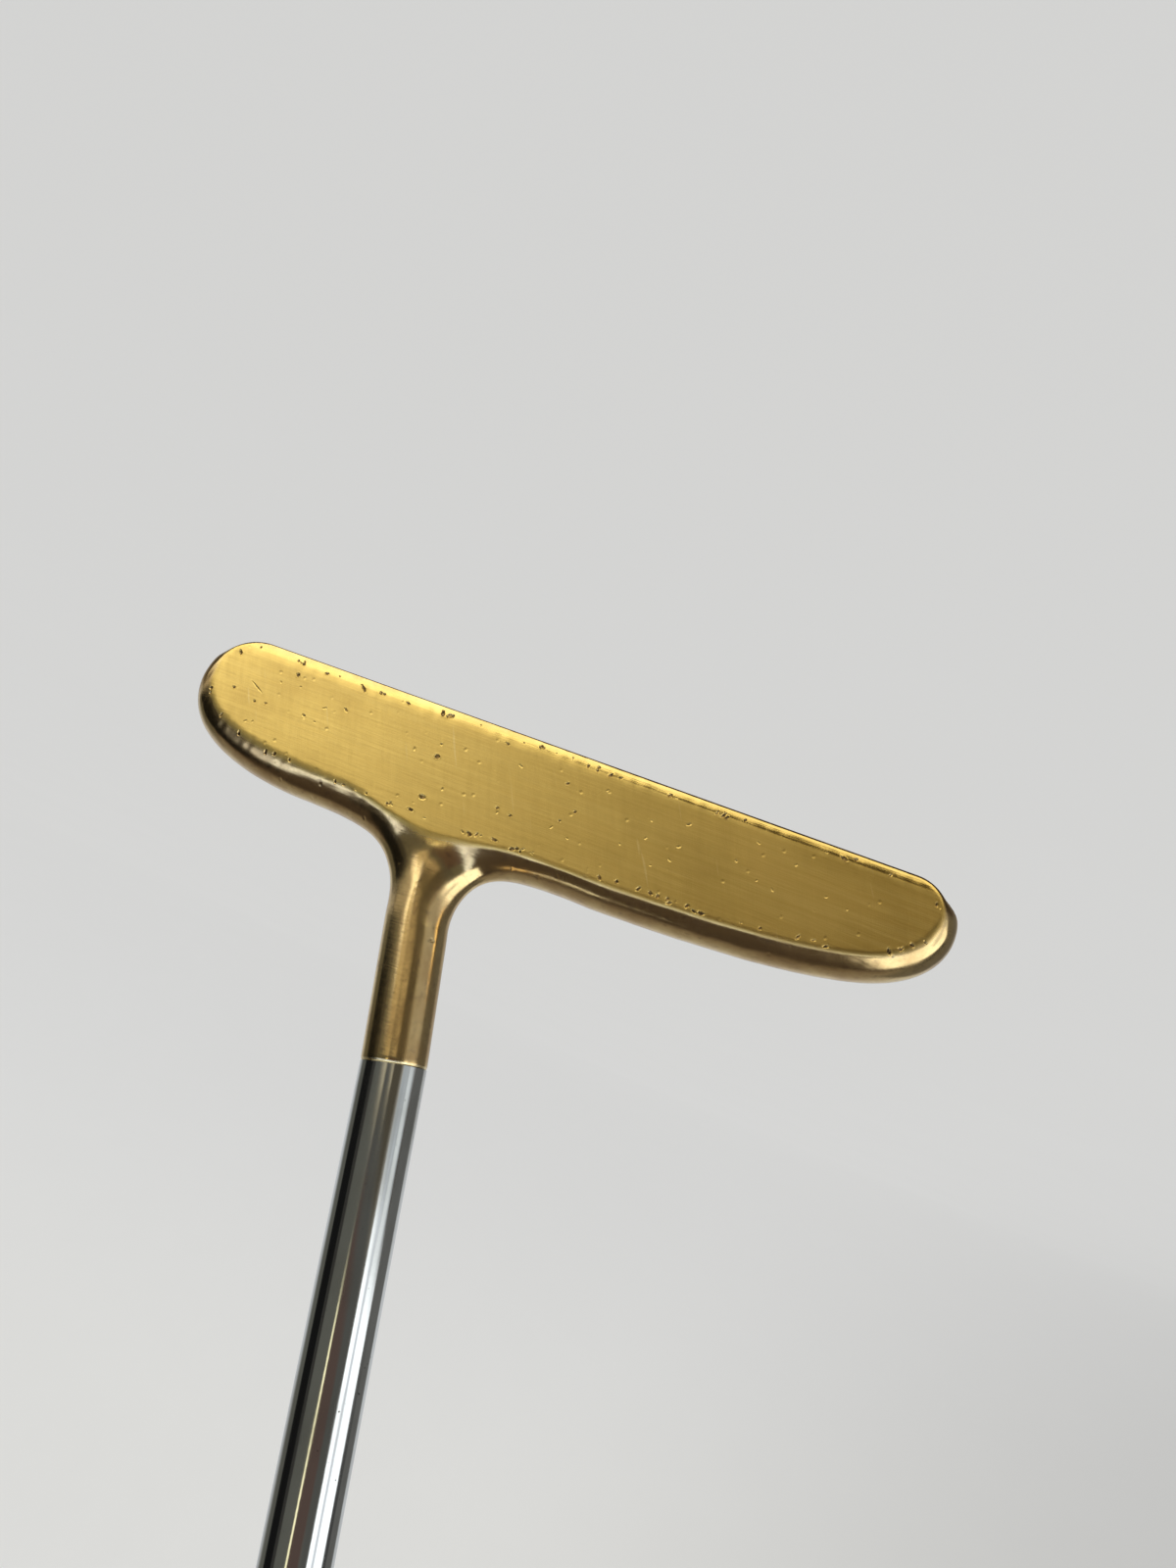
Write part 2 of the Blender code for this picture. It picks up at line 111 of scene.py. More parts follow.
def smooth(value, start, end):
    """0 before start, 1 after end, and an easy S between them, for numbers and arrays."""
    t = np.clip((value - start) / (end - start), 0.0, 1.0)
    return t * t * (3.0 - 2.0 * t)


def heading(angle):
    return Vector((math.cos(angle), 0.0, math.sin(angle)))


SHAFT_UP = heading(SHAFT_LIE)
HOSEL_UP = heading(HOSEL_LIE)


# ---- mesh helpers

def add_piece(name, bm, materials, replaced, smooth_angle=35.0, frame_matrix=None):
    """Finish a bmesh in millimetres as a named piece in metres that rides on the part."""
    if frame_matrix is not None:
        bm.transform(frame_matrix)
    bm.transform(Matrix.Scale(MM, 4))
    bmesh.ops.recalc_face_normals(bm, faces=bm.faces)
    mesh = bpy.data.meshes.new(name)
    bm.to_mesh(mesh)
    bm.free()
    for material in materials:
        mesh.materials.append(material)
    flat = [p.index for p in mesh.polygons if not p.use_smooth]
    mesh.shade_smooth()
    mesh.set_sharp_from_angle(angle=math.radians(smooth_angle))
    for index in flat:
        mesh.polygons[index].use_smooth = False
    piece = bpy.data.objects.new(name, mesh)
    bpy.context.scene.collection.objects.link(piece)
    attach(piece, "root")
    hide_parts(*replaced)
    return piece


def loft(bm, rings, closed_path=False, material_of=None):
    """Skin a run of rings that all have the same number of points."""
    loops = [[bm.verts.new(p) for p in ring] for ring in rings]
    count = len(loops[0])
    pairs = list(zip(loops, loops[1:]))
    if closed_path:
        pairs.append((loops[-1], loops[0]))
    for row, (lower, upper) in enumerate(pairs):
        for i in range(count):
            j = (i + 1) % count
            face = bm.faces.new((lower[i], lower[j], upper[j], upper[i]))
            face.smooth = True
            if material_of:
                face.material_index = material_of(row)
    return loops


def circle(radius, height, segments):
    return [Vector((radius * math.cos(TAU * i / segments), radius * math.sin(TAU * i / segments), height))
            for i in range(segments)]


def axis_matrix():
    """From the shaft's own axis, z = 0 at the joint, to the part's frame, in millimetres."""
    return Matrix.Translation(JOINT) @ Matrix.Rotation(math.pi / 2.0 - SHAFT_LIE, 4, "Y")


# ---- the casting

def face_outline():
    """Outline of the flat face: x and z of points less than a millimetre apart."""
    knots = (
        # x, z, heading in degrees, length of the tangent arriving and of the one leaving
        (52.4, SOLE_EDGE, 0.0, 0.0, 2.8),
        (57.5, 5.6, 90.0, 2.7, 4.2),
        (46.5, 13.9, 167.0, 6.4, 12.0),
        (2.0, 17.1, 179.0, 14.0, 12.0),
        (-40.0, 16.8, 185.0, 12.0, 9.0),
        (-56.6, 7.6, 270.0, 5.8, 4.2),
        (-49.6, SOLE_EDGE, 360.0, 3.6, 0.0),
    )
    points = []
    for (x0, z0, turn0, _, leaving), (x1, z1, turn1, arriving, _) in zip(knots, knots[1:]):
        start, end = Vector((x0, 0.0, z0)), Vector((x1, 0.0, z1))
        after = start + heading(math.radians(turn0)) * leaving
        before = end - heading(math.radians(turn1)) * arriving
        count = max(int((end - start).length * 3.0), 24)
        points.extend(interpolate_bezier(start, after, before, end, count)[:-1])
    sole_start = Vector((knots[-1][0], 0.0, SOLE_EDGE))
    sole_end = Vector((knots[0][0], 0.0, SOLE_EDGE))
    points.extend(sole_start.lerp(sole_end, i / SOLE_POINTS) for i in range(SOLE_POINTS))
    return np.array([(p.x, p.z) for p in points])


class OutlineField:
    """Signed distance to the outline and the downward share of its normal, on a fine grid."""

    STEP = 0.2

    def __init__(self, outline):
        self.low = np.array([-63.0, -3.0])
        size = np.array([126.0, 50.0])
        self.count = (size / self.STEP).astype(int) + 1
        xs = self.low[0] + self.STEP * np.arange(self.count[0])
        zs = self.low[1] + self.STEP * np.arange(self.count[1])
        along = np.roll(outline, -1, axis=0) - outline
        length2 = (along ** 2).sum(1)
        self.distance = np.zeros(tuple(self.count))
        self.down = np.zeros(tuple(self.count))
        for column, z in enumerate(zs):
            rx = xs[:, None] - outline[None, :, 0]
            rz = z - outline[None, :, 1]
            t = np.clip((rx * along[None, :, 0] + rz * along[None, :, 1]) / length2[None, :], 0.0, 1.0)
            dx, dz = rx - t * along[None, :, 0], rz - t * along[None, :, 1]
            d2 = dx * dx + dz * dz
            nearest = d2.argmin(1)
            rows = np.arange(len(xs))
            edge = along[nearest]
            cross = edge[:, 0] * rz[0, nearest] - edge[:, 1] * rx[rows, nearest]
            self.distance[:, column] = np.sqrt(d2[rows, nearest]) * np.where(cross > 0.0, -1.0, 1.0)
            self.down[:, column] = edge[:, 0] / np.sqrt(length2[nearest])

    def sample(self, grid, x, z):
        u = np.clip((x - self.low[0]) / self.STEP, 0.0, self.count[0] - 1.001)
        v = np.clip((z - self.low[1]) / self.STEP, 0.0, self.count[1] - 1.001)
        i, j = u.astype(int), v.astype(int)
        fu, fv = u - i, v - j
        low = grid[i, j] * (1.0 - fu) + grid[i + 1, j] * fu
        high = grid[i, j + 1] * (1.0 - fu) + grid[i + 1, j + 1] * fu
        return low * (1.0 - fv) + high * fv


FIELD = OutlineField(face_outline())


def neck_edge(z, side, radius, top_line):
    """The neck's outline seen square to the face: round a fillet from the top line and up the hosel."""
    across = Vector((HOSEL_UP.z, 0.0, -HOSEL_UP.x))
    start = JOINT + across * (side * HOSEL_R)
    corner = start - HOSEL_UP * ((start.z - top_line) / HOSEL_UP.z)
    opening = HOSEL_LIE if side > 0.0 else math.pi - HOSEL_LIE
    center = corner + (HOSEL_UP + Vector((side, 0.0, 0.0))).normalized() * (radius / math.sin(opening / 2.0))
    touch = (center - across * (side * radius)).z
    straight = start.x + (z - start.z) * (HOSEL_UP.x / HOSEL_UP.z)
    squared = radius ** 2 - (center.z - np.maximum(z, top_line)) ** 2
    round_part = center.x - side * np.sqrt(np.clip(squared, 0.0, None))
    return np.where(z > touch, straight, round_part)


def soft_join(a, b, width):
    """What a rounded join of two fields adds where they come within a width of each other."""
    return np.clip(width - np.abs(a - b), 0.0, None) ** 2 / (4.0 * width)


def blank(x, y, z):
    """Below zero inside the casting, before its two faces are milled flat. Works on arrays."""
    half = SOLE_HALF - z * LOFT
    depth = np.abs(y)
    radius = (half * half + RIM_SAGITTA ** 2) / (2.0 * RIM_SAGITTA)
    inside = np.clip(radius ** 2 - depth ** 2, 0.0, None)
    bullnose = np.sqrt(inside) - (radius - RIM_SAGITTA)
    past_flat = np.clip(depth - (half - SOLE_EDGE), 0.0, None)
    past_face = np.clip(depth - half, 0.0, None)
    flat_sole = np.sqrt(np.clip(SOLE_EDGE ** 2 - past_flat ** 2, 0.0, None)) - 3.0 * past_face
    share = smooth(FIELD.sample(FIELD.down, x, z), 0.3, 1.0)
    reach = bullnose * (1.0 - share) + flat_sole * share
    blade = FIELD.sample(FIELD.distance, x, z) - reach
    left, right = neck_edge(z, *SHORT_FILLET), neck_edge(z, *LONG_FILLET)
    middle, wide = (left + right) / 2.0, (right - left) / 2.0
    deep = HOSEL_R + 2.8 * np.exp(-np.clip(z - 17.7, -0.6, None) / 1.16)
    power = 1.6 + 0.4 * smooth(z, 20.0, 32.0)
    oval = ((np.abs(x - middle) / wide) ** power + (np.abs(y) / deep) ** power) ** (1.0 / power)
    neck = np.maximum((oval - 1.0) * np.minimum(wide, deep), NECK_FOOT - z)
    fillet = 2.0 * smooth(z, NECK_FOOT, 15.0) + 0.01
    return np.minimum(neck, blade) - soft_join(neck, blade, fillet)


def round_off(a, b, radius):
    """What is inside both a and b, with the edge between them rolled over to a radius."""
    return np.minimum(-radius, np.maximum(a, b)) + np.sqrt(
        np.clip(radius + a, 0.0, None) ** 2 + np.clip(radius + b, 0.0, None) ** 2)


def casting(x, y, z):
    """The blank with its faces milled and their edges buffed over by hand."""
    lean = math.atan(LOFT)
    depth = np.abs(y)
    face = (depth - SOLE_HALF) * math.cos(lean) + z * math.sin(lean)
    form = blank(x, y, z)
    radius = 0.22 + 0.41 * smooth(-x, -10.0, 4.0) + 0.8 * smooth(-x, 18.0, 30.0) + 0.9 * smooth(x, 50.0, 57.0)
    radius *= 1.0 + 0.05 * np.sin(2.3 * x + 1.7 * np.sin(0.9 * x + z))
    milled = round_off(form, face, radius * smooth(z, 2.0, 8.0) + 0.14)
    buffed = math.radians(9.0)
    top = 2.0 - 0.7 * smooth(x, -30.0, 40.0) + 0.12 * np.sin(1.7 * x + 2.0 * np.sin(0.6 * x))
    low_face = (depth - SOLE_HALF + top * LOFT) * math.cos(buffed) - (z - top) * math.sin(buffed)
    milled = np.maximum(milled, low_face) + soft_join(milled, low_face, 0.18)
    free = smooth(z, 23.0, 26.0)
    return milled * (1.0 - free) + form * free


def skin(field, low, high, step):
    """Surface nets: one vertex in each cell that the surface crosses, one quad for each crossed edge."""
    axes = [np.arange(low[k], high[k] + step, step) for k in range(3)]
    x, y, z = np.meshgrid(*axes, indexing="ij")
    values = field(x, y, z)
    cells = tuple(n - 1 for n in values.shape)
    total = np.zeros((int(np.prod(cells)), 3))
    hits = np.zeros(int(np.prod(cells)))
    quads = []
    for axis in range(3):
        lower = [slice(None)] * 3
        upper = [slice(None)] * 3
        lower[axis], upper[axis] = slice(None, -1), slice(1, None)
        a, b = values[tuple(lower)], values[tuple(upper)]
        crossed = (a < 0.0) != (b < 0.0)
        index = np.argwhere(crossed)
        first, second = a[crossed], b[crossed]
        spot = index.astype(float)
        spot[:, axis] += first / (first - second)
        u, v = (axis + 1) % 3, (axis + 2) % 3
        corners = []
        whole = np.ones(len(index), bool)
        for du, dv in ((0, 0), (-1, 0), (-1, -1), (0, -1)):
            cell = index.copy()
            cell[:, u] += du
            cell[:, v] += dv
            valid = ((cell >= 0) & (cell < np.array(cells))).all(1)
            flat = np.where(valid, np.ravel_multi_index(np.clip(cell, 0, np.array(cells) - 1).T, cells), 0)
            for k in range(3):
                total[:, k] += np.bincount(flat[valid], spot[valid, k], len(total))
            hits += np.bincount(flat[valid], minlength=len(hits))
            corners.append(flat)
            whole &= valid
        quad = np.stack(corners, 1)
        quad[first > 0.0] = quad[first > 0.0][:, ::-1]
        quads.append(quad[whole])
    used = np.flatnonzero(hits)
    number = np.full(len(hits), -1)
    number[used] = np.arange(len(used))
    points = total[used] / hits[used][:, None] * step + np.array(low)
    faces = number[np.concatenate(quads)]
    return points, faces


def rise(points, field, reach):
    """How much a field changes across each point along x, y and z, over a reach to either side."""
    return np.stack([field(*(points + reach * d).T) - field(*(points - reach * d).T) for d in np.eye(3)], 1)


def settle(points, field, rounds=3):
    """Bring points onto the surface in a few steps along the field's slope."""
    reach = 0.02
    for _ in range(rounds):
        value = field(*points.T)
        slope = rise(points, field, reach) / (2 * reach)
        length2 = np.maximum((slope ** 2).sum(1), 0.05)
        points = points - np.clip(value / length2, -0.3, 0.3)[:, None] * slope
    return points


def relax(points, faces, weight, rounds):
    """Draw each point toward the average of its neighbours, as far as its weight allows."""
    size = len(points)
    sides = np.concatenate([faces[:, [k, (k + 1) % 4]] for k in range(4)])
    sides = sides[(weight[sides] > 0.0).any(1)]
    a, b = sides.T
    count = np.maximum(np.bincount(a, minlength=size) + np.bincount(b, minlength=size), 1)
    for _ in range(rounds):
        total = np.stack([np.bincount(a, points[b, k], size) + np.bincount(b, points[a, k], size)
                          for k in range(3)], 1)
        points = points + (total / count[:, None] - points) * weight[:, None]
    return points


def boundary_loop(bm, test):
    """The longest run of open edges whose ends pass a test, as one ordered loop of vertices."""
    links = {}
    for e in bm.edges:
        if e.is_boundary and all(test(v.co) for v in e.verts):
            a, b = e.verts
            links.setdefault(a, []).append(b)
            links.setdefault(b, []).append(a)
    left = set(links)
    best = []
    for start in list(links):
        if start not in left:
            continue
        loop, here = [], start
        while here is not None:
            loop.append(here)
            left.discard(here)
            here = next((v for v in links[here] if v in left), None)
        if len(loop) > len(best):
            best = loop
    return best


def close_hosel(bm):
    """Carry the hosel up round its bend to the worn shoulder and the post inside the shaft."""
    cut = JOINT - HOSEL_UP * HOSEL_CUT
    loop = boundary_loop(bm, lambda co: abs((co - cut).dot(HOSEL_UP)) < 0.01)

    def ring(center, up, radius):
        across = Vector((up.z, 0.0, -up.x))
        points = []
        for i in range(SIDES):
            angle = TAU * i / SIDES
            deep = Vector((0.0, radius * math.sin(angle), 0.0))
            points.append(center + across * (radius * math.cos(angle)) + deep)
        return points

    rings = [ring(JOINT - HOSEL_UP * s, HOSEL_UP, HOSEL_R) for s in (8.5, 7.5, 6.0, 4.0, 2.4)]
    rings.append(ring(JOINT - HOSEL_UP * 1.6, (HOSEL_UP + SHAFT_UP).normalized(), HOSEL_R))
    for s, radius in ((0.9, HOSEL_R), (0.5, HOSEL_R), (0.32, HOSEL_R - 0.03), (0.12, HOSEL_R - 0.10),
                      (0.02, HOSEL_R - 0.16), (0.0, HOSEL_R - 0.22), (0.0, HOSEL_R - 0.8), (0.0, POST_R)):
        rings.append(ring(JOINT - HOSEL_UP * s, SHAFT_UP, radius))
    rings.append(ring(JOINT + SHAFT_UP * (POST_LENGTH - 1.0), SHAFT_UP, POST_R))
    rings.append(ring(JOINT + SHAFT_UP * POST_LENGTH, SHAFT_UP, POST_R - 0.8))
    worn = (8, 9, 10)
    loops = loft(bm, rings, material_of=lambda row: BRASS_EDGE if row in worn else BRASS)
    bm.faces.new(loops[-1])
    lower = [bm.edges.get((loop[i], loop[(i + 1) % len(loop)])) for i in range(len(loop))]
    upper = [bm.edges.get((loops[0][i], loops[0][(i + 1) % SIDES])) for i in range(SIDES)]
    made = bmesh.ops.bridge_loops(bm, edges=[e for e in lower + upper if e])
    for face in made["faces"]:
        face.smooth = True


def dent(bm, pits, side):
    """Sink knocks into a face: (x, z, width, length, turn, depth), each with a faint raised lip."""
    tree = kdtree.KDTree(len(pits))
    for i, pit in enumerate(pits):
        tree.insert(Vector((pit[0], 0.0, pit[1])), i)
    tree.balance()

    def near(co, margin):
        flat = Vector((co.x, 0.0, co.z))
        return [i for _, i, gap in tree.find_n(flat, 4) if gap < pits[i][3] / 2.0 + margin]

    def on_face(co):
        return side * co.y > SOLE_HALF - co.z * LOFT - 1.2 and co.z < 22.0

    touched = [f for f in bm.faces if on_face(f.calc_center_median()) and near(f.calc_center_median(), 0.3)]
    edges = {e for f in touched for e in f.edges}
    bmesh.ops.subdivide_edges(bm, edges=list(edges), cuts=3, use_grid_fill=True)
    depths = {}
    for v in bm.verts:
        if not on_face(v.co):
            continue
        sunk = 0.0
        for i in near(v.co, 0.2):
            x, z, width, length, turn, depth = pits[i]
            c, s = math.cos(math.radians(turn)), math.sin(math.radians(turn))
            dx, dz = v.co.x - x, v.co.z - z
            r = math.hypot((dx * c + dz * s) / (length / 2.0), (dz * c - dx * s) / (width / 2.0))
            r *= 1.0 + 0.25 * noise.noise(Vector((v.co.x * 3.0, v.co.z * 3.0, i)))
            if r < 1.0:
                sunk = max(sunk, depth * (1.0 - r ** 3))
            else:
                sunk = sunk - 0.10 * depth * math.exp(-((r - 1.12) / 0.12) ** 2)
        if sunk:
            depths[v] = sunk
    for v, sunk in depths.items():
        v.co.y -= side * sunk
    for f in bm.faces:
        deep = [depths.get(v, 0.0) for v in f.verts]
        # Faces deep in a dent take the darker pit material: painted shade in the hollow.
        if min(deep) > PIT_DEPTH:
            f.material_index = BRASS_PIT_SHADE


def apply_modifiers(piece):
    """Freeze a piece's modifiers into its mesh."""
    depsgraph = bpy.context.evaluated_depsgraph_get()
    mesh = bpy.data.meshes.new_from_object(piece.evaluated_get(depsgraph))
    piece.modifiers.clear()
    old = piece.data
    piece.data = mesh
    bpy.data.meshes.remove(old)


def trim(bm, point, normal):
    """Cut away everything past a plane and tidy the cut's small edges."""
    everything = bm.verts[:] + bm.edges[:] + bm.faces[:]
    made = bmesh.ops.bisect_plane(bm, geom=everything, dist=0.0001, plane_co=point, plane_no=normal,
                                  clear_outer=True)
    rim = [g for g in made["geom_cut"] if isinstance(g, bmesh.types.BMVert)]
    bmesh.ops.remove_doubles(bm, verts=rim, dist=0.07)


def inside_faces(points):
    """How far points lie inside the planes of the two striking faces."""
    return SOLE_HALF - points[:, 2] * LOFT - np.abs(points[:, 1])


def build_head():
    """The casting: skinned, smoothed at the neck's root, left a little wavy off the faces, and dented."""
    points, faces = skin(casting, (-61.4, -6.8, -1.1), (61.4, 6.8, 44.0), CELL)
    points = settle(points, casting)
    x, z = points[:, 0], points[:, 2]
    root = smooth(x, -40.0, -32.0) * smooth(-x, -12.0, -5.0)
    root = root * smooth(z, 11.5, 15.0) * smooth(-z, -32.0, -25.0)
    root = 0.9 * root * smooth(inside_faces(points), 0.15, 1.1)
    points = relax(points, faces, root, RELAX_ROUNDS)
    waves = np.array([noise.noise(Vector(p) * 0.16) * 0.05 + noise.noise(Vector(p) * 0.55) * 0.018
                      for p in points])
    z = points[:, 2]
    wavy = smooth(z, 0.4, 3.0) * (1.0 - smooth(z, 22.0, 36.0))
    wavy *= smooth(inside_faces(points), 0.05, 0.6)
    slope = rise(points, casting, 0.05)
    slope /= np.maximum(np.linalg.norm(slope, axis=1), 1e-6)[:, None]
    points = points + slope * ((waves - 0.04) * wavy)[:, None]
    mesh = bpy.data.meshes.new("head_form")
    mesh.from_pydata(points.tolist(), [], faces.tolist())
    bm = bmesh.new()
    bm.from_mesh(mesh)
    bpy.data.meshes.remove(mesh)
    for face in bm.faces:
        face.smooth = True
    add_knocks(bm)
    trim(bm, JOINT - HOSEL_UP * HOSEL_CUT, HOSEL_UP)
    close_hosel(bm)
    return bm


def add_knocks(bm):
    """The dents of play in both striking faces."""
    front = (
        # x, z, width, length, turn in degrees, depth
        (-43.5, 3.4, 0.7, 0.7, 0.0, 0.16), (-33.0, 1.9, 0.5, 1.7, 40.0, 0.14),
        (-48.6, 7.4, 0.3, 2.8, 28.0, 0.08), (-52.0, 8.6, 0.5, 0.6, 0.0, 0.14),
        (-48.0, 9.6, 0.5, 0.5, 0.0, 0.12), (-46.2, 9.3, 0.4, 0.5, 0.0, 0.12),
        (-18.1, 7.9, 0.8, 0.95, 0.0, 0.2), (-6.6, 12.0, 0.55, 0.6, 0.0, 0.15),
        (-4.4, 12.4, 0.5, 0.55, 0.0, 0.14), (1.6, 5.0, 0.55, 0.6, 0.0, 0.15),
        (4.2, 8.6, 0.55, 0.6, 0.0, 0.15), (2.6, 10.6, 0.45, 0.5, 0.0, 0.12),
        (-9.0, 2.4, 0.4, 0.9, 20.0, 0.12), (-17.6, 14.4, 0.9, 1.2, 0.0, 0.12),
    )
    rng = random.Random(SEED)
    outline = face_outline()

    def knocks(count, low, high):
        """Small pits scattered over the face, with more of them toward the short end."""
        made = []
        for _ in range(count):
            size = rng.uniform(low, high)
            x = 50.0 - 98.0 * rng.uniform(0.0, 1.0) ** 0.7
            z = rng.uniform(3.0, 13.0)
            length = size * rng.uniform(1.0, 2.4)
            made.append((x, z, size, length, rng.uniform(0.0, 180.0), size * 0.2))
        return made

    def nicks(count):
        """Knocks along the rolled edge of the face, a little inside its outline."""
        made = []
        for _ in range(count):
            k = rng.randrange(len(outline))
            x, z = outline[k]
            dx, dz = outline[(k + 4) % len(outline)] - outline[k - 4]
            run = math.hypot(dx, dz)
            inset = rng.uniform(0.2, 0.9)
            size = rng.uniform(0.22, 0.62)
            length = size * rng.uniform(1.0, 2.2)
            turn = rng.uniform(0.0, 180.0)
            made.append((x - dz / run * inset, z + dx / run * inset, size, length, turn, size * 0.3))
        return made

    front = front + tuple(knocks(KNOCKS, 0.26, 0.46)) + tuple(nicks(FRONT_NICKS))
    back = knocks(KNOCKS, 0.3, 0.8) + nicks(BACK_NICKS)
    dent(bm, front, 1.0)
    dent(bm, back, -1.0)


# ---- shaft

def shaft_radius(height):
    """Outer radius under the grip, where the steps give way to a plain taper."""
    stepped = TIP_R + STEP_COUNT * STEP_RISE
    share = (height - GRIP_START) / (SHAFT_LENGTH - GRIP_START)
    return stepped + (BUTT_R - stepped) * min(max(share, 0.0), 1.0)


def build_shaft():
    profile = [(TIP_R - 0.02, SEAT), (TIP_R, SEAT + 0.02), (TIP_R, SEAT + 0.08), (TIP_R, SEAT + 0.6),
               (TIP_R, 20.0), (TIP_R, 80.0)]
    for i in range(STEP_COUNT):
        height = FIRST_STEP + i * STEP_SPACING
        radius = TIP_R + i * STEP_RISE
        profile.append((radius, height - 0.5))
        for k in range(7):
            profile.append((radius + STEP_RISE * float(smooth(k / 6.0, 0.0, 1.0)), height + 1.5 * k / 6.0))
        profile.append((radius + STEP_RISE, height + 2.0))
    for height in (GRIP_START - 2.0, GRIP_START, SHAFT_LENGTH - 0.3):
        profile.append((shaft_radius(height), height))
    profile.append((BUTT_R, SHAFT_LENGTH))
    profile += [(BUTT_R - WALL, SHAFT_LENGTH), (shaft_radius(GRIP_START) - WALL, GRIP_START),
                (TIP_R - WALL, FIRST_STEP), (TIP_R - WALL, SEAT)]
    bm = bmesh.new()
    loft(bm, [circle(r, z, SIDES) for r, z in profile], closed_path=True)
    return bm


# ---- grip

def paddle_point(angle, height, growth):
    """A point of the paddle's surface: a flat front toward -X and a round back."""
    share = (height - GRIP_START) / (SHAFT_LENGTH - GRIP_START)
    ease = 0.45 * share + 0.55 * float(smooth(share, 0.25, 1.0))
    width, front, back = (low + (high - low) * ease for low, high in zip(PADDLE_LOW, PADDLE_HIGH))
    cosine, sine = math.cos(angle), math.sin(angle)
    flatness = 2.0 + 1.2 * ease if cosine < 0.0 else 2.0
    depth = (front if cosine < 0.0 else back) + growth
    x = math.copysign(abs(cosine) ** (2.0 / flatness), cosine) * depth
    y = math.copysign(abs(sine) ** (2.0 / flatness), sine) * (width + growth)
    return Vector((x, y, height))


def paddle_ring(height, growth):
    return [paddle_point(TAU * i / SIDES, height, growth) for i in range(SIDES)]


def build_underlisting():
    heights = [GRIP_START + (SHAFT_LENGTH - GRIP_START) * i / 40.0 for i in range(41)]
    outside = [paddle_ring(GRIP_START, -0.4)] + [paddle_ring(max(z, GRIP_START + 0.4), 0.0) for z in heights]
    inside = [circle(shaft_radius(z) + CORE_CLEARANCE, z, SIDES) for z in (GRIP_START, SHAFT_LENGTH)]
    bm = bmesh.new()
    loft(bm, outside + list(reversed(inside)), closed_path=True)
    return bm


def build_leather():
    """One long strip wound up the paddle, each turn lapping over the edge of the one below."""
    per_turn = 96
    turns = (SHAFT_LENGTH - LEATHER_START + STRIP_WIDTH) / STRIP_PITCH
    steps = int(turns * per_turn)
    lap = STRIP_WIDTH - STRIP_PITCH
    across = (0.0, 0.25, 0.7, 1.4, 2.2, 3.0, 4.2, 6.0, 8.5, 11.0, 13.5, 16.0, 18.5, 20.3, 21.0, 22.0,
              23.1, STRIP_WIDTH)
    rows = []
    for step in range(steps + 1):
        angle = TAU * step / per_turn
        base = LEATHER_START - STRIP_WIDTH + STRIP_PITCH * step / per_turn
        outer, inner = [], []
        for s in across:
            height = min(max(base + s, LEATHER_START), SHAFT_LENGTH)
            lift = 0.42 * (1.0 - float(smooth(s, lap * 0.7, lap * 2.2)))
            far_edge = 0.45 * float(smooth(s, STRIP_PITCH - 0.8, STRIP_WIDTH))
            near_edge = 0.55 * (1.0 - float(smooth(s, 0.0, 0.5)))
            skive = 1.0 - far_edge - near_edge
            crown = 0.10 * math.sin(math.pi * s / STRIP_WIDTH)
            place = Vector((math.cos(angle) * 2.0, math.sin(angle) * 2.0, height * 0.35))
            wrinkle = 0.05 * noise.noise(place)
            growth = GAP + lift + STRIP_THICK * skive + crown * 0.6 + wrinkle
            outer.append(paddle_point(-angle, height, growth))
            inner.append(paddle_point(-angle, height, GAP + lift * 0.98))
        rows.append(outer + list(reversed(inner)))
    bm = bmesh.new()
    loops = loft(bm, rows)
    bm.faces.new(loops[0])
    bm.faces.new(loops[-1])
    bmesh.ops.remove_doubles(bm, verts=bm.verts, dist=0.002)
    bmesh.ops.dissolve_degenerate(bm, edges=bm.edges, dist=0.002)
    return bm


def build_whipping():
    """Waxed thread wound tight round the lower end of the leather, its end tucked under."""
    turns = 6.0
    per_turn = 72
    low = LEATHER_START + 0.6 + THREAD_R
    up = Vector((0.0, 0.0, 1.0))
    steps = int(turns * per_turn)
    bm = bmesh.new()
    rings = []
    for step in range(steps + 1):
        angle = TAU * step / per_turn
        height = low + 2.0 * THREAD_R * step / per_turn
        tuck = 0.9 * (float(smooth(step, steps - 9, steps)) + 1.0 - float(smooth(step, 0, 9)))
        growth = GAP * 2.0 + 1.15 + THREAD_R - tuck
        center = paddle_point(angle, height, growth)
        ahead = paddle_point(angle + 0.05, height, growth)
        along = (ahead - center).normalized()
        outward = Vector((along.y, -along.x, 0.0)).normalized()
        ring = []
        for k in range(10):
            a = TAU * k / 10
            twist = 1.0 + 0.05 * math.sin(2.0 * a + step * 0.9)
            ring.append(center + (outward * math.cos(a) + up * math.sin(a)) * THREAD_R * twist)
        rings.append(ring)
    loops = loft(bm, rings)
    bm.faces.new(loops[0])
    bm.faces.new(loops[-1])
    return bm


